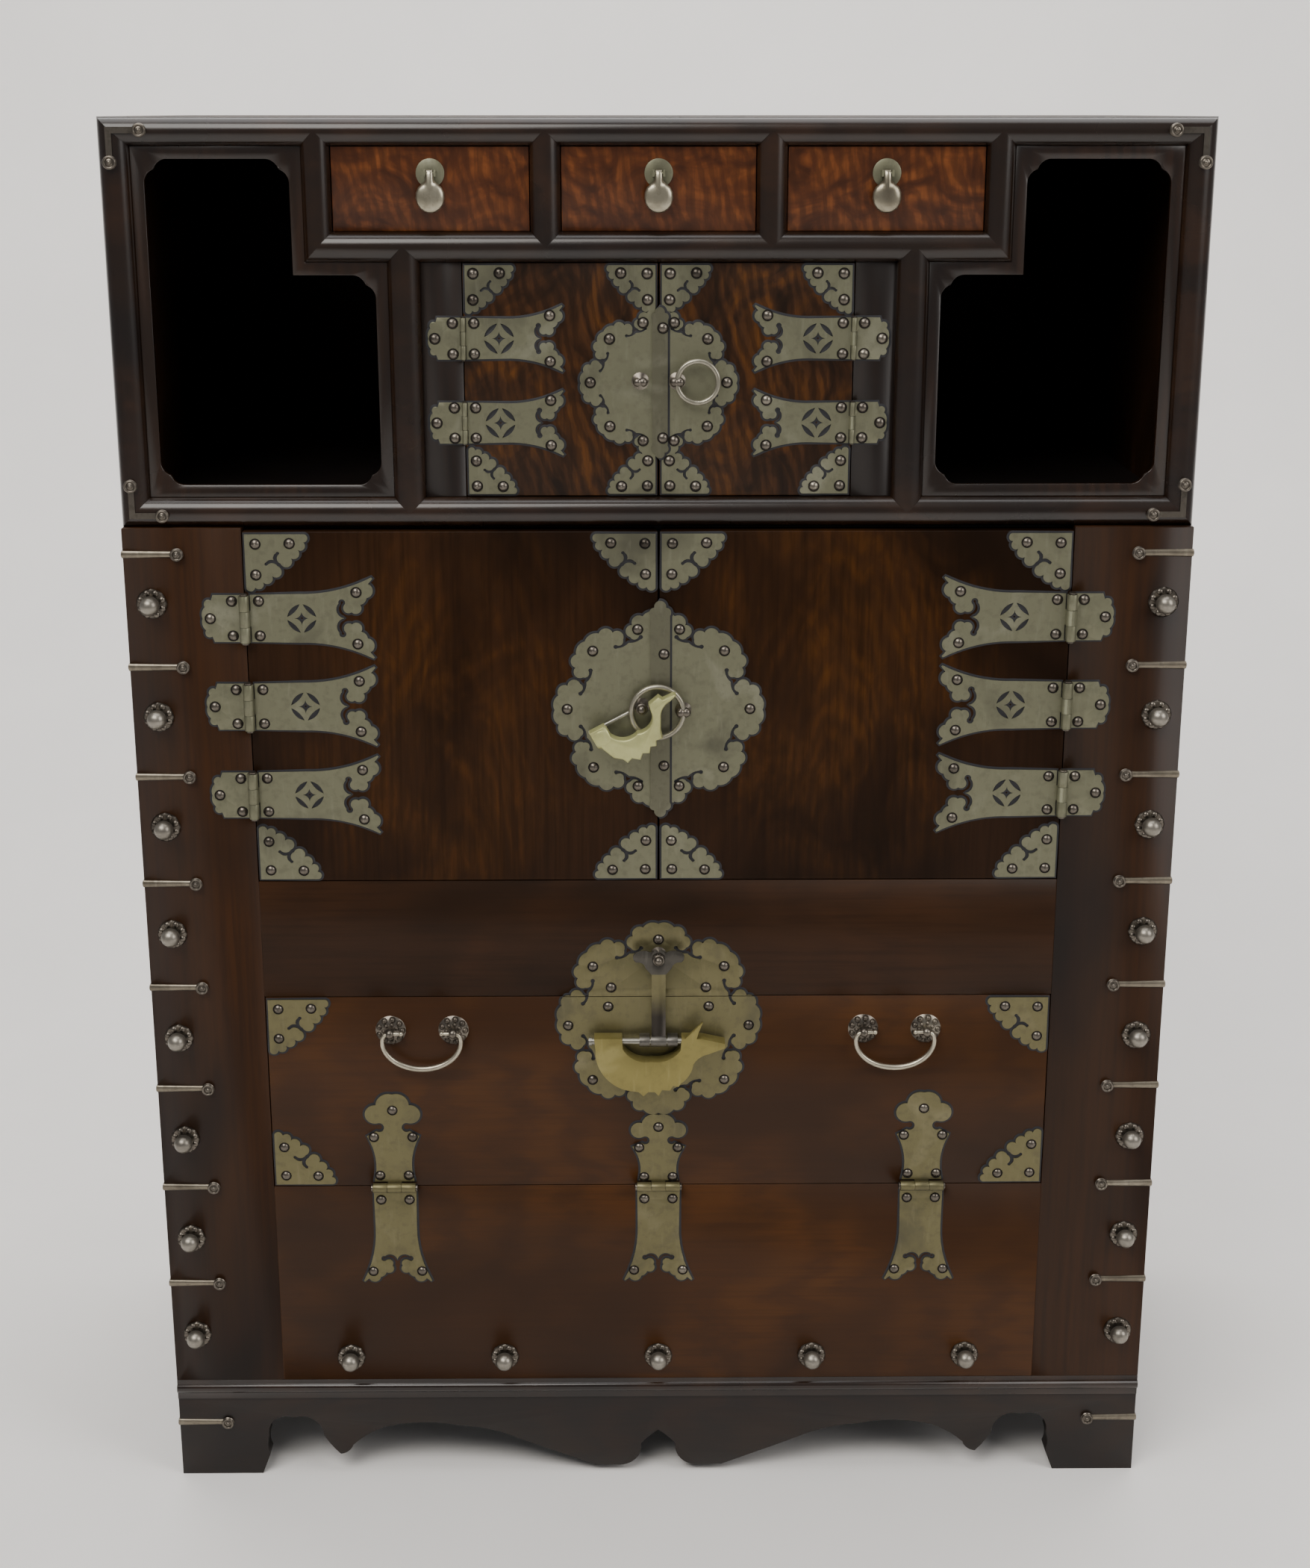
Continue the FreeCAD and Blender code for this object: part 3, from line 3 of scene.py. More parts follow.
import bmesh
import bpy
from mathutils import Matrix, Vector


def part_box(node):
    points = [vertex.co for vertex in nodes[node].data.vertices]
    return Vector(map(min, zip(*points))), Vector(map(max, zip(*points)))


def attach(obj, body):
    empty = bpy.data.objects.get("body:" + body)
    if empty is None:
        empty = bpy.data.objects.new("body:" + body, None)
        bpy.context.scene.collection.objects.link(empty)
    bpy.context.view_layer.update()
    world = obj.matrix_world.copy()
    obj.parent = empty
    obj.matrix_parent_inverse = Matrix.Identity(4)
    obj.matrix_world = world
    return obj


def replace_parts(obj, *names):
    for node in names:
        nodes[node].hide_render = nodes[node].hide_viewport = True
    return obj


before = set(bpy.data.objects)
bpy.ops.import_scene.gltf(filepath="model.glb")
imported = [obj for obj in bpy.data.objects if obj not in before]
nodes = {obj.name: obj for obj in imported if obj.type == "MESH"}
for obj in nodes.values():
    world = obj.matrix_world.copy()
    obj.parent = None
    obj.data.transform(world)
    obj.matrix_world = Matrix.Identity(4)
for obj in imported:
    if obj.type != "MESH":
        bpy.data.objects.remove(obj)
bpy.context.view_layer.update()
MM = 0.001
X, Y, Z = 0, 1, 2

# The camera, found from the chest's four front corners in the photograph
photo_height = 2100
focal_pixels = 3078.0
sensor = 36
camera_place = (-0.0219, -2.1058, 1.2400)
camera_down = 16.35
camera_right = 0.565

# Lights: name, place, aim, size, power and colour. The last one washes the backdrop.
LIGHTS = [("key", (-1.3, -2.4, 3.4), (0, 0, 0.7), (2.6, 1.8), 120, (1.0, 0.97, 0.92)),
          ("right_fill", (2.6, -1.9, 2.2), (0, 0, 0.6), (1.6, 2.0), 52, (1.0, 0.97, 0.94)),
          ("overhead", (0.0, 0.1, 3.5), (0, 0, 1.0), (2.8, 2.2), 60, (1, 1, 1)),
          ("wall_wash", (0.0, 0.9, 3.3), (0, 2.2, 0.9), (4.0, 0.6), 40, (1.0, 0.98, 0.95))]
room_colour = (0.97, 0.97, 1.0, 1)
room_strength = 0.26

# Colours of wood, as linear red, green and blue
black_brown = (0.0060, 0.0036, 0.0028)
ink_brown = (0.0100, 0.0066, 0.0052)
door_dark = (0.0070, 0.0032, 0.0014)
dark_brown = (0.0100, 0.0048, 0.0022)
soft_brown = (0.0240, 0.0105, 0.0046)
warm_brown = (0.0300, 0.0130, 0.0056)
red_brown = (0.0400, 0.0160, 0.0058)
flame_brown = (0.1050, 0.0370, 0.0055)
ember_brown = (0.0800, 0.0290, 0.0060)
drawer_dark = (0.0350, 0.0120, 0.0050)
drawer_red = (0.0850, 0.0260, 0.0085)
drawer_light = (0.1450, 0.0460, 0.0130)
inside_dark = (0.002, 0.001, 0.001)
inside_brown = (0.004, 0.002, 0.001)
inside_glow = (0.008, 0.003, 0.002)
floor_pale = (0.86, 0.84, 0.82)
floor_shade = tuple(c * 0.96 for c in floor_pale)

# Colours of metal: in its hollows, over most of it, and where it is rubbed
iron_dark = (0.0300, 0.0250, 0.0200)
sheet_tones = ((0.085, 0.082, 0.056), (0.160, 0.158, 0.102), (0.270, 0.268, 0.195))
golden_tones = ((0.075, 0.068, 0.042), (0.140, 0.124, 0.060), (0.230, 0.205, 0.120))
strip_tones = ((0.070, 0.066, 0.046), (0.120, 0.116, 0.078), (0.240, 0.230, 0.170))
ring_tones = ((0.12, 0.11, 0.085), (0.30, 0.28, 0.22), (0.55, 0.52, 0.42))
dark_head_tones = ((0.020, 0.018, 0.015), (0.060, 0.055, 0.046), (0.20, 0.19, 0.16))
pale_lock_tones = ((0.26, 0.25, 0.11), (0.42, 0.42, 0.19), (0.58, 0.58, 0.34))
lock_tones = ((0.12, 0.10, 0.035), (0.22, 0.185, 0.060), (0.38, 0.34, 0.15))
nail_tones = (iron_dark, (0.135, 0.118, 0.098), (0.33, 0.30, 0.24))
bolt_tones = ((0.10, 0.095, 0.08), (0.27, 0.26, 0.22), (0.48, 0.46, 0.40))
lug_tones = ((0.050, 0.046, 0.040), (0.120, 0.112, 0.098), (0.25, 0.24, 0.21))
ball_tones = ((0.10, 0.09, 0.075), (0.25, 0.23, 0.195), (0.46, 0.43, 0.37))
staple_tones = ((0.07, 0.06, 0.045), (0.19, 0.165, 0.125), (0.42, 0.38, 0.30))
# The nails' dark collars: painted contact shade round each nail, with dirt
shade_and_dirt_tones = ((0.006, 0.005, 0.004), (0.014, 0.011, 0.009), (0.035, 0.028, 0.020))
bead_tones = (iron_dark, (0.075, 0.062, 0.048), (0.24, 0.21, 0.16))
bow_tones = ((0.16, 0.14, 0.10), (0.44, 0.40, 0.31), (0.66, 0.62, 0.50))
drop_tones = ((0.13, 0.11, 0.075), (0.34, 0.31, 0.23), (0.60, 0.56, 0.44))
# The dark line round the mounts: painted contact shade where they meet the wood, with dirt and polish
tarnish_and_shade_tones = ((0.006, 0.006, 0.008), (0.010, 0.010, 0.013), (0.024, 0.023, 0.026))


class Graph:
    """A material's nodes, with short calls for the ones used here."""

    def __init__(self, name):
        self.material = bpy.data.materials.new(name)
        self.material.use_nodes = True
        self.tree = self.material.node_tree
        self.shader = self.tree.nodes["Principled BSDF"]
        self.place = self.tree.nodes.new("ShaderNodeTexCoord").outputs["Object"]

    def link(self, source, target):
        self.tree.links.new(source, target)

    def stretched(self, scale, turn=(0, 0, 0)):
        node = self.tree.nodes.new("ShaderNodeMapping")
        node.inputs["Scale"].default_value = scale
        node.inputs["Rotation"].default_value = turn
        self.link(self.place, node.inputs["Vector"])
        return node.outputs["Vector"]

    def centred(self, centre, reach):
        """Coordinates that are 0 at a place and 1 at a distance from it that differs along each axis."""
        node = self.tree.nodes.new("ShaderNodeMapping")
        node.inputs["Scale"].default_value = [1 / r for r in reach]
        node.inputs["Location"].default_value = [-c / r for c, r in zip(centre, reach)]
        self.link(self.place, node.inputs["Vector"])
        return node.outputs["Vector"]

    def fade(self, vector):
        """1 at the origin of the coordinates, and 0 from a distance of 1 outwards."""
        node = self.tree.nodes.new("ShaderNodeTexGradient")
        node.gradient_type = "SPHERICAL"
        self.link(vector, node.inputs["Vector"])
        return node.outputs["Fac"]

    def noise(self, vector, scale, detail=4.0, rough=0.55, twist=0.0):
        node = self.tree.nodes.new("ShaderNodeTexNoise")
        self.link(vector, node.inputs["Vector"])
        node.inputs["Scale"].default_value = scale
        node.inputs["Detail"].default_value = detail
        node.inputs["Roughness"].default_value = rough
        node.inputs["Distortion"].default_value = twist
        return node.outputs["Fac"]

    def bands(self, vector, scale, twist, detail, rings=False):
        node = self.tree.nodes.new("ShaderNodeTexWave")
        node.wave_type = "RINGS" if rings else "BANDS"
        node.rings_direction = "Y"
        self.link(vector, node.inputs["Vector"])
        node.inputs["Scale"].default_value = scale
        node.inputs["Distortion"].default_value = twist
        node.inputs["Detail"].default_value = detail
        node.inputs["Detail Scale"].default_value = 1.2
        return node.outputs["Fac"]

    def ramp(self, value, stops):
        """A ramp between stops, each with its place and a colour or a grey."""
        node = self.tree.nodes.new("ShaderNodeValToRGB")
        ends = node.color_ramp.elements
        while len(ends) < len(stops):
            ends.new(0.5)
        for end, (at, colour) in zip(ends, stops):
            end.position = at
            end.color = (*colour, 1) if isinstance(colour, tuple) else (colour, colour, colour, 1)
        self.link(value, node.inputs["Fac"])
        return node.outputs["Color"]

    def mix(self, share, first, second):
        """The first colour where the share is 0, and the second where it is 1."""
        node = self.tree.nodes.new("ShaderNodeMix")
        node.data_type = "RGBA"
        colour_a, colour_b = node.inputs[6:8]
        self.link(share, node.inputs["Factor"])
        for source, socket in ((first, colour_a), (second, colour_b)):
            if isinstance(source, tuple):
                socket.default_value = (*source, 1)
            else:
                self.link(source, socket)
        return node.outputs[2]

    def spread(self, value, low, high):
        node = self.tree.nodes.new("ShaderNodeMapRange")
        self.link(value, node.inputs["Value"])
        node.inputs["To Min"].default_value = low
        node.inputs["To Max"].default_value = high
        return node.outputs["Result"]

    def bump(self, height, depth, strength, under=None):
        node = self.tree.nodes.new("ShaderNodeBump")
        node.inputs["Strength"].default_value = strength
        node.inputs["Distance"].default_value = depth
        self.link(height, node.inputs["Height"])
        if under is not None:
            self.link(under, node.inputs["Normal"])
        return node.outputs["Normal"]

    def set(self, name, value):
        socket = self.shader.inputs[name]
        if isinstance(value, (int, float)):
            socket.default_value = value
        else:
            self.link(value, socket)

    def lacquer(self, colour, fibres, rough, sheen, polish, polish_rough):
        """The worn lacquer over a wood: an uneven gloss, slow waves and the fibres under it."""
        self.set("Base Color", colour)
        self.set("Roughness", self.spread(self.noise(self.place, 9, 4.0), *rough))
        self.set("Specular IOR Level", sheen)
        self.set("Coat Weight", polish)
        self.set("Coat Roughness", polish_rough)
        fine = self.bump(fibres, 0.0001, 0.4)
        self.set("Normal", self.bump(self.noise(self.place, 14, 2.0), 0.0007, 0.3, fine))
        return self.material


def along(axis, slow, fast):
    """Mapping scales for a grain that runs along one axis."""
    return tuple(slow if i == axis else fast for i in range(3))


def wood(name, axis, tones, figure, rough, sheen=0.25, polish=0.05):
    """Old polished timber: a dark ground, soft clouds, and lines of growth in brighter patches."""
    deep, ground, glow = tones
    g = Graph(name)
    clouds = g.noise(g.stretched(along(axis, 2.6, 4.4)), 1.0, 3.0, 0.5, 0.8)
    patches = g.noise(g.stretched(along(axis, 3.4, 6.0)), 1.0, 2.0, 0.45, 1.2)
    growth = g.bands(g.stretched(along(axis, 3.0, 17)), 1.6, 7.5, 4.0)
    curl = g.noise(g.stretched(along(axis, 16, 42)), 1.0, 6.0, 0.62, 2.4)
    fibres = g.noise(g.stretched(along(axis, 7, 240)), 1.0, 5.0, 0.7)
    colour = g.mix(g.ramp(clouds, [(0.36, 0.0), (0.62, 1.0)]), deep, ground)
    lit = g.mix(g.ramp(growth, [(0.15, 0.15), (0.85, 1.0)]), ground, glow)
    lit = g.mix(g.ramp(curl, [(0.40, 0.0), (0.64, 0.6)]), lit, glow)
    colour = g.mix(g.ramp(patches, [(0.42, 0.06 * figure), (0.66, min(figure, 1.0))]), colour, lit)
    colour = g.mix(g.ramp(fibres, [(0.36, 0.34), (0.56, 0.0)]), colour, deep)
    return g.lacquer(colour, fibres, (rough - 0.06, rough + 0.10), sheen, polish, 0.16)


def flame_wood(name, x, z):
    """A door's board: dark at its edges, with arched lines of warm brown round its middle."""
    g = Graph(name)
    clouds = g.noise(g.stretched((6, 6, 3)), 1.0, 3.0, 0.5, 0.8)
    arches = g.bands(g.centred((x, 0, z - 0.16), (0.070, 1.0, 0.27)), 2.6, 9.0, 5.0, rings=True)
    patches = g.noise(g.stretched((13, 13, 9)), 1.0, 3.0, 0.5, 1.0)
    curl = g.noise(g.stretched((34, 34, 13)), 1.0, 6.0, 0.6, 2.6)
    fibres = g.noise(g.stretched(along(Z, 7, 240)), 1.0, 5.0, 0.7)
    core = g.fade(g.centred((x, 0, z), (0.17, 1.0, 0.20)))
    ground = g.mix(g.ramp(clouds, [(0.36, 0.0), (0.64, 1.0)]), door_dark, soft_brown)
    lines = g.mix(g.ramp(arches, [(0.10, 0.24), (0.95, 0.48)]), soft_brown, flame_brown)
    lines = g.mix(g.ramp(curl, [(0.42, 0.5), (0.60, 0.0)]), lines, soft_brown)
    lines = g.mix(g.ramp(patches, [(0.42, 0.8), (0.60, 0.0)]), lines, ground)
    colour = g.mix(g.ramp(core, [(0.0, 0.03), (0.30, 0.55), (0.75, 0.95)]), ground, lines)
    colour = g.mix(g.ramp(fibres, [(0.36, 0.4), (0.56, 0.0)]), colour, door_dark)
    return g.lacquer(colour, fibres, (0.34, 0.48), 0.05, 0.03, 0.2)


def burl_wood(name, scale, tones, sheen):
    """A board cut from a root: a slanting figure of soft patches that run into each other."""
    deep, ground, glow = tones
    g = Graph(name)
    slant = (0, 0.6, 0)
    patches = g.noise(g.stretched(scale, slant), 1.0, 4.0, 0.5, 2.2)
    growth = g.bands(g.stretched((22, 22, 9), slant), 1.8, 9.0, 5.0)
    fibres = g.noise(g.stretched((200, 200, 12), slant), 1.0, 5.0, 0.65)
    colour = g.ramp(patches, [(0.32, deep), (0.50, ground), (0.68, glow)])
    colour = g.mix(g.ramp(growth, [(0.25, 0.5), (0.75, 0.0)]), colour, deep)
    colour = g.mix(g.ramp(fibres, [(0.38, 0.45), (0.58, 0.0)]), colour, deep)
    return g.lacquer(colour, fibres, (0.28, 0.42), sheen, 0.05, 0.2)


def brass(name, tones, gloss, speckle=0.3, metal=0.7, dark_at=None):
    """Old metal: a dull skin with faint clouds, few dark spots and light rubbing.

    It can darken round a place, given with the reach along each axis.
    """
    shade, ground, light = tones
    g = Graph(name)
    cloud = g.noise(g.place, 15, 4.0, 0.5, 0.5)
    spots = g.noise(g.place, 150, 4.0, 0.62)
    rubbed = g.noise(g.stretched((190, 60, 34), (0, 0.6, 0)), 1.0, 3.0, 0.6)
    colour = g.ramp(cloud, [(0.26, shade), (0.44, ground), (0.60, ground), (0.80, light)])
    colour = g.mix(g.ramp(spots, [(0.34, speckle), (0.50, 0.0)]), colour, shade)
    colour = g.mix(g.ramp(rubbed, [(0.56, 0.0), (0.80, 0.3)]), colour, light)
    if dark_at:
        near = g.fade(g.centred(*dark_at))
        colour = g.mix(g.ramp(near, [(0.0, 0.0), (0.45, 1.0)]), colour, iron_dark)
    g.set("Base Color", colour)
    g.set("Metallic", metal)
    g.set("Roughness", g.spread(spots, gloss + 0.10, gloss - 0.05))
    fine = g.bump(spots, 0.0001, 0.4)
    g.set("Normal", g.bump(g.noise(g.place, 50, 3.0), 0.0004, 0.35, fine))
    return g.material


def pale_floor():
    g = Graph("pale_floor")
    g.set("Base Color", g.ramp(g.noise(g.place, 4, 3.0), [(0.3, floor_shade), (0.7, floor_pale)]))
    g.set("Roughness", 0.85)
    return g.material


black_tones = (black_brown, ink_brown, soft_brown)
frame_tones = (black_brown, dark_brown, warm_brown)
side_wood = wood("lacquered_side_wood", Z, frame_tones, 0.6, 0.36, 0.14)
stile_wood = wood("lacquered_stile_wood", Z, (ink_brown, warm_brown, red_brown), 0.7, 0.30, 0.14)
side_panel_wood = wood("lacquered_side_panel_wood", Z, black_tones, 0.3, 0.34, 0.3)
mid_rail_wood = wood("lacquered_mid_rail_wood", X, (dark_brown, warm_brown, red_brown), 0.7, 0.40, 0.10)
rail_wood = wood("lacquered_rail_wood", X, (soft_brown, red_brown, ember_brown), 0.5, 0.38, 0.14)
apron_wood = wood("lacquered_apron_wood", X, black_tones, 0.5, 0.38, 0.35)
left_door_wood = flame_wood("left_flame_wood", -0.170, 0.730)
right_door_wood = flame_wood("right_flame_wood", 0.150, 0.760)
mottled_tones = (dark_brown, red_brown, ember_brown)
upper_door_wood = burl_wood("mottled_upper_door_wood", (26, 26, 16), mottled_tones, 0.14)
drawer_tones = (drawer_dark, drawer_red, drawer_light)
drawer_wood = burl_wood("burl_drawer_wood", (22, 22, 30), drawer_tones, 0.18)
moulding_upright = wood("black_moulding_upright", Z, frame_tones, 0.6, 0.24, 0.36, 0.3)
moulding_level = wood("black_moulding_level", X, frame_tones, 0.6, 0.24, 0.36, 0.3)
dark_inside = wood("dark_inner_wood", Z, (inside_dark, inside_brown, inside_glow), 0.3, 0.55)
inner_board = wood("plain_inner_wood", Y, (black_brown, dark_brown, soft_brown), 0.3, 0.5, 0.12)
sheet_brass = brass("old_sheet_brass", sheet_tones, 0.42)
golden_brass = brass("golden_sheet_brass", golden_tones, 0.40)
strip_brass = brass("grey_strip_brass", strip_tones, 0.38)
ring_metal = brass("rubbed_ring_metal", ring_tones, 0.28, 0.3, 0.8)
dark_head_metal = brass("dark_head_metal", dark_head_tones, 0.3)
pale_lock_brass = brass("pale_lock_brass", pale_lock_tones, 0.38, 0.2, 0.5)
lock_brass = brass("worn_lock_brass", lock_tones, 0.38, 0.2, 0.6)
nail_metal = brass("dark_nail_metal", nail_tones, 0.28, 0.45, 0.9)
bright_metal = brass("bright_grey_metal", bolt_tones, 0.28, 0.3, 0.9)
lug_metal = brass("grey_lug_metal", lug_tones, 0.36, 0.4, 0.8)
ball_metal = brass("rubbed_ball_metal", ball_tones, 0.34, 0.3, 0.85)
staple_metal = brass("dull_staple_metal", staple_tones, 0.32, 0.4, 0.85)
# Painted contact shade, with dirt, round the nails
shade_and_dirt_metal = brass("blackened_collars", shade_and_dirt_tones, 0.5)
dark_bead_metal = brass("blackened_beads", bead_tones, 0.30, 0.7)
bright_handle = brass("rubbed_handles", bow_tones, 0.28, 0.3, 0.9)
handle_brass = brass("rubbed_pulls", drop_tones, 0.28, 0.3, 0.9)
# Painted contact shade, with dirt, for the lines round the mounts
tarnish_and_shade = brass("tarnish_and_shade_line", tarnish_and_shade_tones, 0.5, 0.3, 0.2)

# The hasp's strap is dark near the rod, where the padlock shades it
hasp_low, hasp_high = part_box("hasp")
hasp_dark_reach = (0.1, 0.1, 0.052)
hasp_brass = brass("hasp_brass", golden_tones, 0.40, dark_at=((0, hasp_low.y, hasp_low.z), hasp_dark_reach))

# Finishes for the CAD nodes. Every node that isn't named here is dark inner wood.
FINISH = {
    "lower_sides": side_wood, "upper_sides": side_wood, "base_side_and_back_rails": apron_wood,
    "upper_top_board": mid_rail_wood, "back_panels": inner_board, "base_front_apron": apron_wood,
    "base_moulding": moulding_level, "lower_front_stiles": stile_wood, "mid_rail": mid_rail_wood,
    "lower_front_panel": rail_wood, "drop_door_panel": rail_wood, "lower_left_door_panel": left_door_wood,
    "lower_right_door_panel": right_door_wood, "upper_left_door_panel": upper_door_wood,
    "upper_right_door_panel": upper_door_wood, "door_side_panels": side_panel_wood,
    "upper_frame_moulding": moulding_level, "upper_inner_mouldings": moulding_level,
    "niche_frames": moulding_upright, "left_drawer": drawer_wood, "middle_drawer": drawer_wood,
    "right_drawer": drawer_wood, "fixed_hinge_leaves": sheet_brass, "rail_lock_plate": golden_brass,
    "corner_straps": nail_metal, "edge_staples": staple_metal, "hinge_pins": nail_metal,
    "flower_studs": nail_metal, "carcass_nails": nail_metal, "hasp": hasp_brass,
    "upper_ring": ring_metal, "lower_ring": ring_metal, "drop_door_plates": golden_brass,
    "left_bail": nail_metal, "right_bail": nail_metal, "door_padlock_case": pale_lock_brass,
    "drop_padlock_case": lock_brass, "door_padlock_bolt": bright_metal,
    "drop_padlock_bolt": bright_metal}
ENDINGS = {"_plates": sheet_brass, "_nails": nail_metal, "_pull_plate": sheet_brass, "_pull": sheet_brass}

# How wide the worn edges are, in mm. The last part of a name that fits counts.
ROUNDED = {"_panel": 0.9, "_plates": 0.35, "_drawer": 0.8, "stiles": 0.8, "mid_rail": 0.8,
           "lower_front_panel": 0.8, "niche_frames": 0.9, "side_panels": 0.8, "sides": 1.5,
           "top_board": 1.5, "apron": 1.5, "fixed_hinge_leaves": 0.35, "rail_lock_plate": 0.35,
           "padlock_case": 1.3, "hasp": 0.5, "base_moulding": 0.5}
DOORS = ("upper_left_door", "upper_right_door", "lower_left_door", "lower_right_door", "drop_door")

# Corners closer than this are one, in metres, and edges sharper than these stay sharp, in degrees
joined = 0.00001
cad_sharp = 32
worn_sharp = 40
flat_front = 0.9995

# Faces of a node with a finish of their own, picked out by these distances
strip_out = 2.9 * MM
strip_half = 14 * MM
lug_out = 3 * MM
lug_half = 19 * MM
lug_above = 0.40
knuckle_tall = 10.2 * MM
hasp_head_tall = 26 * MM
strap_leaves_below = 0.5


def dress(node, material):
    """Gives a CAD node its finish: smooth over round parts and sharp at its edges."""
    mesh = nodes[node].data
    mesh.materials.clear()
    mesh.materials.append(material)
    mesh.set_sharp_from_angle(angle=radians(cad_sharp))
    if node.endswith("_plates"):
        for polygon in mesh.polygons:
            polygon.use_smooth = abs(polygon.normal.y) < flat_front


def dress_part(node, material, chosen):
    """Gives another finish to the faces whose middle a test picks out."""
    mesh = nodes[node].data
    mesh.materials.append(material)
    last = len(mesh.materials) - 1
    for polygon in mesh.polygons:
        if chosen(polygon.center):
            polygon.material_index = last


def soften(name, wide):
    """Rounds a node's sharp edges, as its maker's file and years of polishing did."""
    weld = nodes[name].modifiers.new("joined", "WELD")
    weld.merge_threshold = joined
    bevel = nodes[name].modifiers.new("worn_edges", "BEVEL")
    bevel.width = wide * MM
    bevel.segments = 2
    bevel.limit_method = "ANGLE"
    bevel.angle_limit = radians(worn_sharp)
    bevel.use_clamp_overlap = True
    bevel.harden_normals = not name.endswith("_plates")


def finish_nodes():
    for name in nodes:
        material = FINISH.get(name)
        if material is None:
            found = [m for ending, m in ENDINGS.items() if name.endswith(ending)]
            material = found[0] if found else dark_inside
        dress(name, material)
        wide = [w for part, w in ROUNDED.items() if part in name]
        if wide:
            soften(name, wide[-1])
    for tier in ("upper", "lower"):
        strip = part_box(tier + "_right_door_panel")[0].y - strip_out
        dress_part(tier + "_right_door_plates", strip_brass,
                   lambda at: at.y < strip and abs(at.x) < strip_half)
    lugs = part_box("drop_door_panel")[0].y - lug_out
    dress_part("drop_door_plates", lug_metal,
               lambda at: at.y < lugs and abs(at.x) < lug_half and at.z > lug_above)
    dress_part("hasp", lug_metal, lambda at: at.z < hasp_low.z + knuckle_tall)
    dress_part("hasp", dark_head_metal, lambda at: at.z > hasp_high.z - hasp_head_tall)
    dress_part("fixed_hinge_leaves", golden_brass, lambda at: at.z < strap_leaves_below)


def middle(box):
    low, high = box
    return (low + high) / 2


def islands(node):
    """The box of each separate solid of a CAD node, as its lowest and highest corner."""
    mesh = nodes[node].data
    steps_per_metre = 20000
    ids = {}
    parent = []

    def root(i):
        while parent[i] != i:
            parent[i] = parent[parent[i]]
            i = parent[i]
        return i

    key = [None] * len(mesh.vertices)
    for v in mesh.vertices:
        at = tuple(round(c * steps_per_metre) for c in v.co)
        if at not in ids:
            ids[at] = len(parent)
            parent.append(ids[at])
        key[v.index] = ids[at]
    for edge in mesh.edges:
        a, b = (root(key[i]) for i in edge.vertices)
        parent[a] = b
    boxes = {}
    for v in mesh.vertices:
        r = root(key[v.index])
        low, high = boxes.setdefault(r, (v.co.copy(), v.co.copy()))
        for i in range(3):
            low[i] = min(low[i], v.co[i])
            high[i] = max(high[i], v.co[i])
    return [boxes[r] for r in sorted(boxes, key=lambda r: tuple(round(c, 4) for c in boxes[r][0]))]


class Builder:
    """Collects turned and swept shapes into one mesh."""

    def __init__(self):
        self.verts = []
        self.faces = []

    def rings(self, loops, closed=False):
        """Joins rings of equally many points.

        The ends are closed with a face each, unless the last ring is joined to the first.
        """
        count = len(loops[0])
        start = len(self.verts)
        for loop in loops:
            self.verts += [tuple(p) for p in loop]
        last = len(loops) if closed else len(loops) - 1
        for i in range(last):
            a = start + i * count
            b = start + (i + 1) % len(loops) * count
            for j in range(count):
                k = (j + 1) % count
                self.faces.append((a + j, a + k, b + k, b + j))
        if not closed:
            end = start + (len(loops) - 1) * count
            self.faces.append(tuple(start + j for j in range(count)))
            self.faces.append(tuple(end + j for j in reversed(range(count))))

    def turned(self, at, profile, segments, petals=0, depth=0.0):
        """A shape turned about a line from front to back. The profile holds radii and distances out."""
        least = 0.00002
        loops = []
        for radius, out in profile:
            loop = []
            for turn in around(segments):
                r = max(radius * (1 + depth * cos(petals * turn)), least)
                loop.append((at[0] + r * cos(turn), at[1] - out, at[2] + r * sin(turn)))
            loops.append(loop)
        self.rings(loops)

    def tube(self, points, radii, segments, closed=False):
        """A round wire along a line of points, with its radius at each."""
        loops = []
        count = len(points)
        up = None
        for i, p in enumerate(points):
            a = points[i - 1] if i or closed else p
            b = points[(i + 1) % count] if i < count - 1 or closed else p
            run = (Vector(b) - Vector(a)).normalized()
            if up is None:
                up = run.orthogonal().normalized()
            up = (up - run * up.dot(run)).normalized()
            other = run.cross(up)
            r = radii[i]
            loops.append([Vector(p) + up * r * cos(a) + other * r * sin(a) for a in around(segments)])
        self.rings(loops, closed)

    def bead(self, at, radius, rise):
        """A half ball."""
        self.turned(at, [(radius * cos(a), rise * sin(a)) for a in arc(0, pi / 2, bead_steps)], bead_round)

    def bead_ring(self, at, face, count, first, circle, out, radius, rise):
        """A ring of half balls, its sizes in mm, with the first one turned by a share of a step."""
        for k in range(count):
            turn = 2 * pi * (k + first) / count
            place = (at.x + circle * MM * cos(turn), face - out * MM, at.z + circle * MM * sin(turn))
            self.bead(place, radius * MM, rise * MM)

    def piece(self, name, material, body, slot, smooth=40):
        """The mesh as an object on its body, smooth but for edges over an angle."""
        mesh = bpy.data.meshes.new(name)
        mesh.from_pydata(self.verts, [], self.faces)
        mesh.validate()
        mesh.update()
        bm = bmesh.new()
        bm.from_mesh(mesh)
        bmesh.ops.remove_doubles(bm, verts=bm.verts, dist=joined)
        bmesh.ops.recalc_face_normals(bm, faces=bm.faces)
        bm.to_mesh(mesh)
        bm.free()
        mesh.materials.append(material)
        for polygon in mesh.polygons:
            polygon.use_smooth = True
        mesh.set_sharp_from_angle(angle=radians(smooth))
        piece = bpy.data.objects.new(name, mesh)
        bpy.context.scene.collection.objects.link(piece)
        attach(piece, body)
        return piece


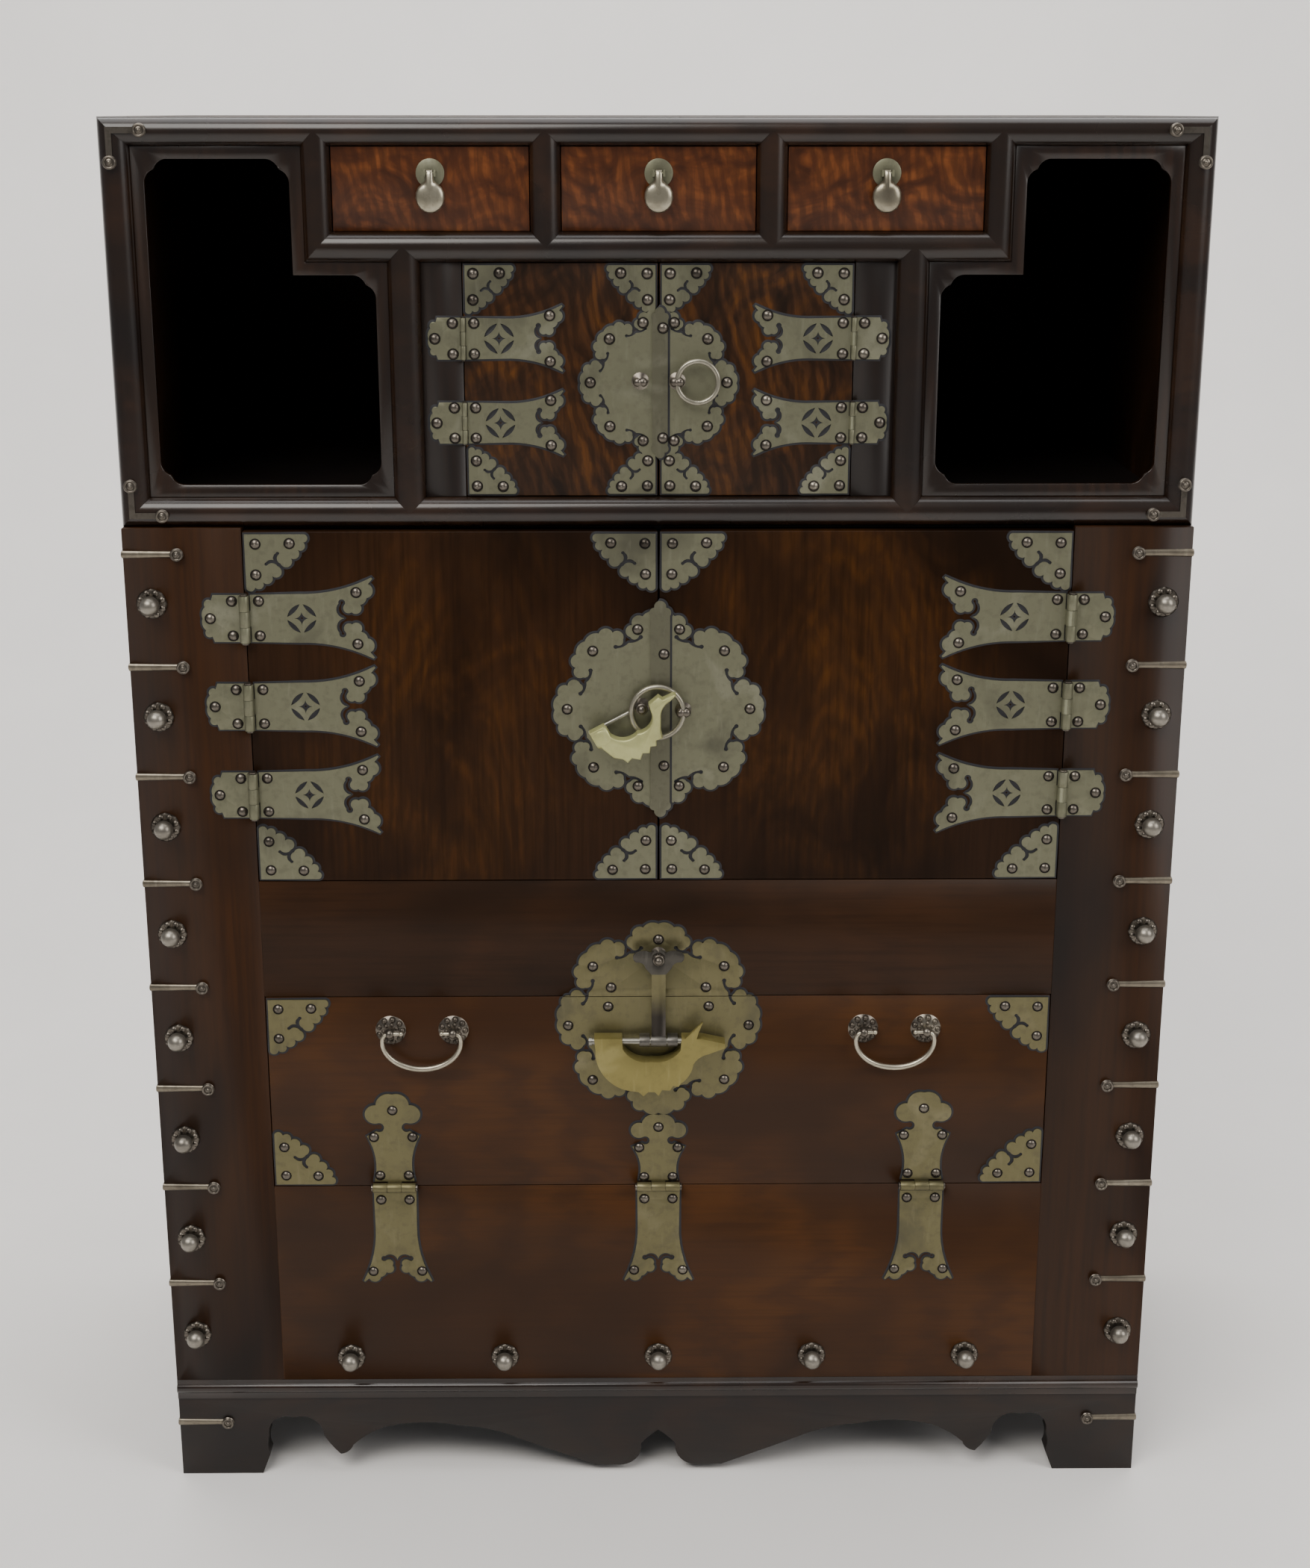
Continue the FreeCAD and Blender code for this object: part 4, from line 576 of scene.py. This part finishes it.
# How many points go round the turned and swept forms, and how many steps a curve along them has
stud_round = 48
ball_round = 32
ball_steps = 16
collar_round = 20
wire_round = 14
bead_round = 14
bead_steps = 5
head_ring_steps = 24
head_ring_round = 10
staple_steps = 10
bow_steps = 24
tip_steps = 10
cap_round = 28


def arc(start, sweep, steps):
    """The angles from a start through a sweep, with both ends."""
    return [start + sweep * k / steps for k in range(steps + 1)]


def around(count):
    """The angles of equally many steps round a full turn."""
    return [2 * pi * k / count for k in range(count)]


# Nails, in mm: least and greatest radius of the dome nails and of the wide ones, and how deep a shank goes.
# The rim's plane is this share of the radius behind the tip.
dome_radii = (3.0, 4.6)
wide_radii = (5.0, 6.2)
shank = 9
rim_share = 0.525
# A nail's collar, as shares of the nail's radius and distances out in mm
collar_profile = [(1.2, -0.2), (1.19, 0.3), (1.1, 0.7), (0.97, 0.6), (0.9, 0.1)]
# The wide nails' raised ring and the dome inside it, in mm but for the ring's share of the nail's radius
head_ring_share = 0.78
head_ring_out = 2.0
head_ring_wire = 1.2
head_dome_out = 2.2
head_dome_radius = 2.1
head_dome_rise = 1.8


def nail_places(node, radii):
    """The nails of a node: each one's middle, radius and the plane of its rim."""
    places = []
    for box in islands(node):
        radius = (box[1].x - box[0].x) / 2
        if radii[0] * MM < radius < radii[1] * MM:
            places.append((middle(box), radius, box[0].y + rim_share * radius))
    return places


def nail_shade_and_dirt_collars(node, body):
    """A thin dark collar round every nail: painted contact shade at its rim, with the dirt and old polish
    gathered there.
    """
    made = Builder()
    for at, radius, rim in nail_places(node, dome_radii):
        profile = [(radius * share, out * MM) for share, out in collar_profile]
        made.turned((at.x, rim, at.z), profile, collar_round)
    made.piece(node + "_collars", shade_and_dirt_metal, body, "nail_metal")


def ring_heads():
    """The wide nails at the staples and corner straps have a raised ring round a small dome."""
    made = Builder()
    radii = [head_ring_wire * MM] * head_ring_steps
    for at, radius, rim in nail_places("carcass_nails", wide_radii):
        circle = radius * head_ring_share
        ring = [(at.x + circle * cos(a), rim - head_ring_out * MM, at.z + circle * sin(a))
                for a in around(head_ring_steps)]
        made.tube(ring, radii, head_ring_round, True)
        made.bead((at.x, rim - head_dome_out * MM, at.z), head_dome_radius * MM, head_dome_rise * MM)
    made.piece("ring_headed_nails", nail_metal, "carcass", "nail_metal")


# A stud, in mm: its base's profile, with slight waves round it, and its ball, whose middle stands out by the
# seat and a share of the radius. The beads of studs and rosettes: count, first turn, circle, distance out,
# radius and rise. What stands out further than beads_out is a ball, and posts over rosette_wide have a rosette.
stud_base = [(12.8, 0.0), (12.8, 0.9), (11.8, 2.1), (9.0, 2.2), (6.0, 2.2)]
stud_petals = 8
stud_petal_depth = 0.015
stud_beads = (8, 0.5, 9.8, 1.2, 3.1, 2.7)
stud_ball = 8.3
stud_seat = 2.2
stud_ball_share = 0.95
stud_ball_from = -1.25
stud_ball_sweep = 2.82
beads_out = 4.2
rosette_beads = [(9, 0, 10.3, 0.6, 3.1, 3.6), (7, 0.5, 6.1, 2.2, 2.2, 2.8)]
rosette_wide = 20


def stud(made, at, face):
    """A ball on a base with a ring of beads."""
    foot = (at.x, face, at.z)
    base = [(radius * MM, out * MM) for radius, out in stud_base]
    made.turned(foot, base, stud_round, stud_petals, stud_petal_depth)
    made.bead_ring(at, face, *stud_beads)
    out = stud_seat + stud_ball * stud_ball_share
    turns = arc(stud_ball_from, stud_ball_sweep, ball_steps)
    ball = [(stud_ball * cos(a) * MM, (out + stud_ball * sin(a)) * MM) for a in turns]
    made.turned(foot, ball, ball_round)


def studs():
    """All studs of the front, whose boards lie in one plane. Their balls are rubbed bright."""
    made = Builder()
    for box in islands("flower_studs"):
        face = box[1].y - shank * MM
        stud(made, middle(box), face)
    piece = made.piece("beaded_studs", nail_metal, "carcass", "nail_metal")
    piece.data.materials.append(ball_metal)
    for polygon in piece.data.polygons:
        if polygon.center.y < face - beads_out * MM:
            polygon.material_index = 1
    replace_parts(piece, "flower_studs")


def rosettes():
    """Bead clusters round the posts of the bails."""
    made = Builder()
    for box in islands("drop_door_nails"):
        if box[1].x - box[0].x > rosette_wide * MM:
            for beads in rosette_beads:
                made.bead_ring(middle(box), box[1].y - shank * MM, *beads)
    made.piece("rosette_beads", dark_bead_metal, "drop_door", "nail_metal")


# A staple: how far its bar stands out in the CAD, and its own rise
staple_lip = 1.8 * MM
staple_rise = 1.75 * MM


def staple_section(base, outward, wide, rise):
    """A half round section that lies on a base point, with its flat side down."""
    return [Vector((base[0], base[1], base[2] + wide * cos(a))) + Vector(outward) * (rise * sin(a))
            for a in arc(0, pi, staple_steps)]


def staples():
    """Half round bars that wrap the front corners.

    Each station holds its place across and back, the way its section faces, and its shares of width and rise.
    """
    made = Builder()
    forward = (0, -1, 0)
    for low, high in islands("edge_staples"):
        z = (low.z + high.z) / 2
        wide = (high.z - low.z) / 2
        side = 1 if high.x > 0 else -1
        edge = max(abs(low.x), abs(high.x)) - staple_lip
        inner = min(abs(low.x), abs(high.x))
        face = low.y + staple_lip
        corner = (side * 0.7071, -0.7071, 0)
        sideways = (side, 0, 0)
        stations = [(inner, face, forward, 0.5, 0.5), (inner + 1.5 * MM, face, forward, 0.85, 0.9),
                    (inner + 8 * MM, face, forward, 0.8, 1), (edge - 1 * MM, face, forward, 0.95, 1),
                    (edge, face, corner, 1, 1.05), (edge, face + 1 * MM, sideways, 0.95, 1),
                    (edge, high.y - 2 * MM, sideways, 0.8, 1), (edge, high.y, sideways, 0.45, 0.4)]
        made.rings([staple_section((side * x, y, z), way, wide * broad, staple_rise * tall)
                    for x, y, way, broad, tall in stations])
    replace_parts(made.piece("rounded_staples", staple_metal, "carcass", "nail_metal"), "edge_staples")


# A bail. Its box is larger than its line by these, in mm: above, at each side, and in all of its height.
# An arm's stations hold the place beside the middle, the drop and the radius. The places are in mm, those of
# the shoulder are shares of the half width, the drops are shares of the depth, and the radii are in mm.
bail_wire = 2.2
bail_side = 2.3
bail_ends = 4.6
bail_arm = [(18.0, 0, 1.1), (20.0, 0, 1.5), (24.0, 0, 1.6), (28.5, -0.01, 1.7)]
bail_shoulder = [(0.93, -0.035, 1.8), (0.985, -0.11, 1.85), (1.0, -0.22, 1.9)]
bail_bow_top = 0.22
bail_bow_radius = 1.95
bail_bow_swell = 0.65
bail_tip_out = 18
bail_tip_arc = 3


def bail(node):
    """A bow that is thickest in its middle, with ends that curl in through the eyes of its posts."""
    low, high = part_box(node)
    at = Vector(((low.x + high.x) / 2, (low.y + high.y) / 2, high.z - bail_wire * MM))
    half = (high.x - low.x) / 2 - bail_side * MM
    deep = high.z - low.z - bail_ends * MM
    arm = [(x * MM / half, z, r) for x, z, r in bail_arm] + bail_shoulder
    bow = [(cos(a), -bail_bow_top - (1 - bail_bow_top) * sin(a), bail_bow_radius + bail_bow_swell * sin(a))
           for a in arc(0, pi, bow_steps)[1:-1]]
    line = arm + bow + [(-x, z, r) for x, z, r in reversed(arm)]
    made = Builder()
    points = [(at.x + x * half, at.y, at.z + z * deep) for x, z, r in line]
    made.tube(points, [r * MM for x, z, r in line], wire_round)
    tip = bail_wire * MM
    turns = arc(-bail_tip_arc / 2, bail_tip_arc, tip_steps)
    for side in (-1, 1):
        made.turned((at.x + side * bail_tip_out * MM, at.y + tip, at.z),
                    [(tip * cos(a), tip + tip * sin(a)) for a in turns], wire_round)
    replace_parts(made.piece(node + "_bow", bright_handle, node, "nail_metal"), node)


# The pear of a drawer pull, in mm: half widths and distances below its pin, and its swelling from back to
# front as shares of the outline with distances out. The outline shrinks towards a point below the pin, less
# in its height than in its width.
pear = [(2.6, 3.0), (3.2, -1.5), (3.4, -5.5), (6.4, -8.2), (9.6, -11.0), (11.4, -15.0), (11.7, -19.5),
        (10.6, -24.0), (8.2, -27.6), (4.6, -30.2), (1.6, -31.0)]
pear_swell = [(0.96, -1.5), (1.0, -1.0), (1.0, 0.2), (0.97, 1.1), (0.90, 2.0), (0.78, 2.8), (0.58, 3.5),
              (0.34, 3.9), (0.12, 4.0)]
pear_centre = -17
pear_shrink = 0.9
pull_length = 31
pull_sharp = 60


def pull(node):
    """A cast drop that is swollen in front and flat behind."""
    low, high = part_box(node)
    at = middle((low, high))
    pin = low.z + pull_length * MM
    outline = pear + [(-w, d) for w, d in reversed(pear)]
    loops = []
    for share, out in pear_swell:
        tall = 1 - (1 - share) * pear_shrink
        loops.append([(at.x + w * share * MM, at.y - out * MM,
                       pin + (pear_centre + (d - pear_centre) * tall) * MM) for w, d in outline])
    made = Builder()
    made.rings(loops)
    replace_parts(made.piece(node + "_drop", handle_brass, node, "sheet_brass", pull_sharp), node)


# Sheet metal: its thickness, how exactly a face has to lie in a sheet's front plane, and the dark line's
# width. In its section the line climbs the sheet's edge, thins out over the wood, and dips into it.
plate_thick = 1.5 * MM
plane_slack = 0.15 * MM
facing_front = -0.999
line_wide = 2.0 * MM
line_climb = 0.5 * MM
line_lip = 0.06 * MM
line_dip = 0.1 * MM


def plate_outlines(node, faces):
    """The directed edges round each flat front of a sheet metal node, with the plane behind the sheet."""
    mesh = nodes[node].data
    planes = [face - layer * plate_thick for face in faces for layer in (0, 1)]
    sides = {}
    for polygon in mesh.polygons:
        back = polygon.center.y + plate_thick
        if polygon.normal.y > facing_front or not any(abs(back - plane) < plane_slack for plane in planes):
            continue
        corners = [mesh.vertices[i].co for i in polygon.vertices]
        points = [(round(c.x, 6), round(c.z, 6), round(back, 5)) for c in corners]
        for side in zip(points, points[1:] + points[:1]):
            sides[side] = True
    return [(a, b) for a, b in sides if (b, a) not in sides and a != b]


def tarnish_and_shade_lines(node, body, faces, within=None):
    """A dark line on the wood round each mount: painted contact shade where its edge meets the wood, with the
    polish and dirt gathered there.
    """
    edges = plate_outlines(node, faces)
    lean = {}
    for a, b in edges:
        run = Vector((b[0] - a[0], b[1] - a[1])).normalized()
        for p in (a, b):
            lean[p] = lean.get(p, Vector((0, 0))) + Vector((run.y, -run.x))
    made = Builder()
    for a, b in edges:
        start = len(made.verts)
        for p in (a, b):
            out = lean[p].normalized() * line_wide
            x, z = p[0] + out.x, p[1] + out.y
            if within:
                low, high = within
                x = min(max(x, low.x), high.x)
                z = min(max(z, low.z), high.z)
            made.verts += [(p[0], p[2] - line_climb, p[1]), (x, p[2] - line_lip, z),
                           (p[0], p[2] + line_dip, p[1])]
        for k in range(3):
            other = (k + 1) % 3
            made.faces.append((start + k, start + 3 + k, start + 3 + other, start + other))
    made.piece(node + "_tarnish_and_shade", tarnish_and_shade, body, "nail_metal")


# Painted contact shade lines, with dirt, round the doors' mounts, the rail's lock plate and the fixed leaves
def all_tarnish_and_shade_lines():
    for door in DOORS:
        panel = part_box(door + "_panel")
        tarnish_and_shade_lines(door + "_plates", door, [panel[0].y], panel)
    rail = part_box("mid_rail")
    tarnish_and_shade_lines("rail_lock_plate", "carcass", [rail[0].y], rail)
    tarnish_and_shade_lines("fixed_hinge_leaves", "carcass", [rail[0].y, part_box("door_side_panels")[0].y])


# The padlock on the lower ring hangs at this angle. Its cap is a short drum across the end of the rod. Places
# along the rod are measured from the ring's wire, in mm, and come with a share of the drum's half size.
padlock_tilt = radians(28)
cap_swell = [(-38.6, 0.55), (-38.2, 0.82), (-36.8, 0.95), (-34.0, 1.02), (-31.0, 1.05), (-28.0, 1.02),
             (-25.0, 0.95), (-23.8, 0.82), (-23.5, 0.6)]
cap_middle = -5.0
cap_tall = 9.0
cap_deep = 6.1
cap_square = 0.7
case_half_thick = 6.5
ring_wire = 2.4
# The rounding of the crescent's front, in mm: how far in from its outline and behind its foremost plane
crescent_round = [(0.0, 13.0), (0.0, 3.0), (0.3, 2.0), (0.75, 1.35), (1.15, 1.1)]


def loop_of(edges):
    """The points of a closed outline in order, from its directed edges."""
    following = dict(edges)
    loop = [edges[0][0]]
    while following[loop[-1]] != loop[0]:
        loop.append(following[loop[-1]])
    return loop


def padlock_crescent():
    """The crescent of the lower padlock, with the soft edges of a filed casting."""
    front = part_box("door_padlock_case")[0].y
    loop = loop_of(plate_outlines("door_padlock_case", [front + plate_thick]))
    leans = []
    for before, at, after in zip(loop[-1:] + loop[:-1], loop, loop[1:] + loop[:1]):
        run = Vector((at[0] - before[0], at[1] - before[1])).normalized()
        run += Vector((after[0] - at[0], after[1] - at[1])).normalized()
        leans.append(Vector((run.y, -run.x)).normalized())
    made = Builder()
    made.rings([[(p[0] - lean.x * inset * MM, front + behind * MM, p[1] - lean.y * inset * MM)
                 for p, lean in zip(loop, leans)] for inset, behind in crescent_round])
    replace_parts(made.piece("padlock_crescent", pale_lock_brass, "door_padlock", "lock_brass"),
                "door_padlock_case")


def padlock_cap():
    """The drum at the lower padlock's left end, with the section of a rounded square."""
    ring_low, ring_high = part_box("lower_ring")
    x = ring_low.x + ring_wire * MM
    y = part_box("door_padlock_case")[0].y + case_half_thick * MM
    z = (ring_low.z + ring_high.z) / 2
    along_x, along_z = cos(padlock_tilt), sin(padlock_tilt)
    loops = []
    for u, share in cap_swell:
        loop = []
        for turn in around(cap_round):
            c, s = cos(turn), sin(turn)
            w = cap_middle + cap_tall * share * (abs(c) ** cap_square) * (1 if c > 0 else -1)
            out = cap_deep * share * (abs(s) ** cap_square) * (1 if s > 0 else -1)
            loop.append((x + (u * along_x - w * along_z) * MM, y - out * MM,
                         z + (u * along_z + w * along_x) * MM))
        loops.append(loop)
    made = Builder()
    made.rings(loops)
    made.piece("padlock_cap", pale_lock_brass, "door_padlock", "lock_brass")


def studio():
    """A pale floor that curves up into a plain backdrop."""
    wide, near, far, tall, bend = 9.0, -5.0, 2.2, 5.0, 1.6
    curve = [(far - bend + bend * sin(a), bend - bend * cos(a)) for a in arc(0, pi / 2, 16)]
    outline = [(near, 0.0)] + curve + [(far, tall)]
    verts = [(x, y, z) for y, z in outline for x in (-wide / 2, wide / 2)]
    faces = [(2 * i, 2 * i + 1, 2 * i + 3, 2 * i + 2) for i in range(len(outline) - 1)]
    mesh = bpy.data.meshes.new("backdrop")
    mesh.from_pydata(verts, [], faces)
    for polygon in mesh.polygons:
        polygon.use_smooth = True
    mesh.materials.append(pale_floor())
    drop = bpy.data.objects.new("backdrop", mesh)
    bpy.context.scene.collection.objects.link(drop)


def area_light(name, place, aim, size, power, colour):
    lamp = bpy.data.lights.new(name, "AREA")
    lamp.shape = "RECTANGLE"
    lamp.size, lamp.size_y = size
    lamp.energy = power
    lamp.color = colour
    holder = bpy.data.objects.new(name, lamp)
    holder.location = place
    holder.rotation_euler = (Vector(aim) - Vector(place)).to_track_quat("-Z", "Y").to_euler()
    bpy.context.scene.collection.objects.link(holder)


def room_light():
    world = bpy.data.worlds.new("soft_room")
    world.use_nodes = True
    world.node_tree.nodes["Background"].inputs["Color"].default_value = room_colour
    world.node_tree.nodes["Background"].inputs["Strength"].default_value = room_strength
    bpy.context.scene.world = world


def camera():
    lens = bpy.data.cameras.new("photo_camera")
    lens.sensor_width = sensor
    lens.lens = focal_pixels / photo_height * sensor
    holder = bpy.data.objects.new("photo_camera", lens)
    holder.location = camera_place
    holder.rotation_euler = (radians(90 - camera_down), 0, radians(-camera_right))
    bpy.context.scene.collection.objects.link(holder)
    bpy.context.scene.camera = holder


camera()
for light in LIGHTS:
    area_light(*light)
room_light()
studio()
finish_nodes()
all_tarnish_and_shade_lines()
padlock_crescent()
padlock_cap()
studs()
staples()
ring_heads()
rosettes()
for name in ("left_bail", "right_bail"):
    bail(name)
for name in ("left", "middle", "right"):
    pull(name + "_drawer_pull")
nail_shade_and_dirt_collars("carcass_nails", "carcass")
for name in DOORS:
    nail_shade_and_dirt_collars(name + "_nails", name)
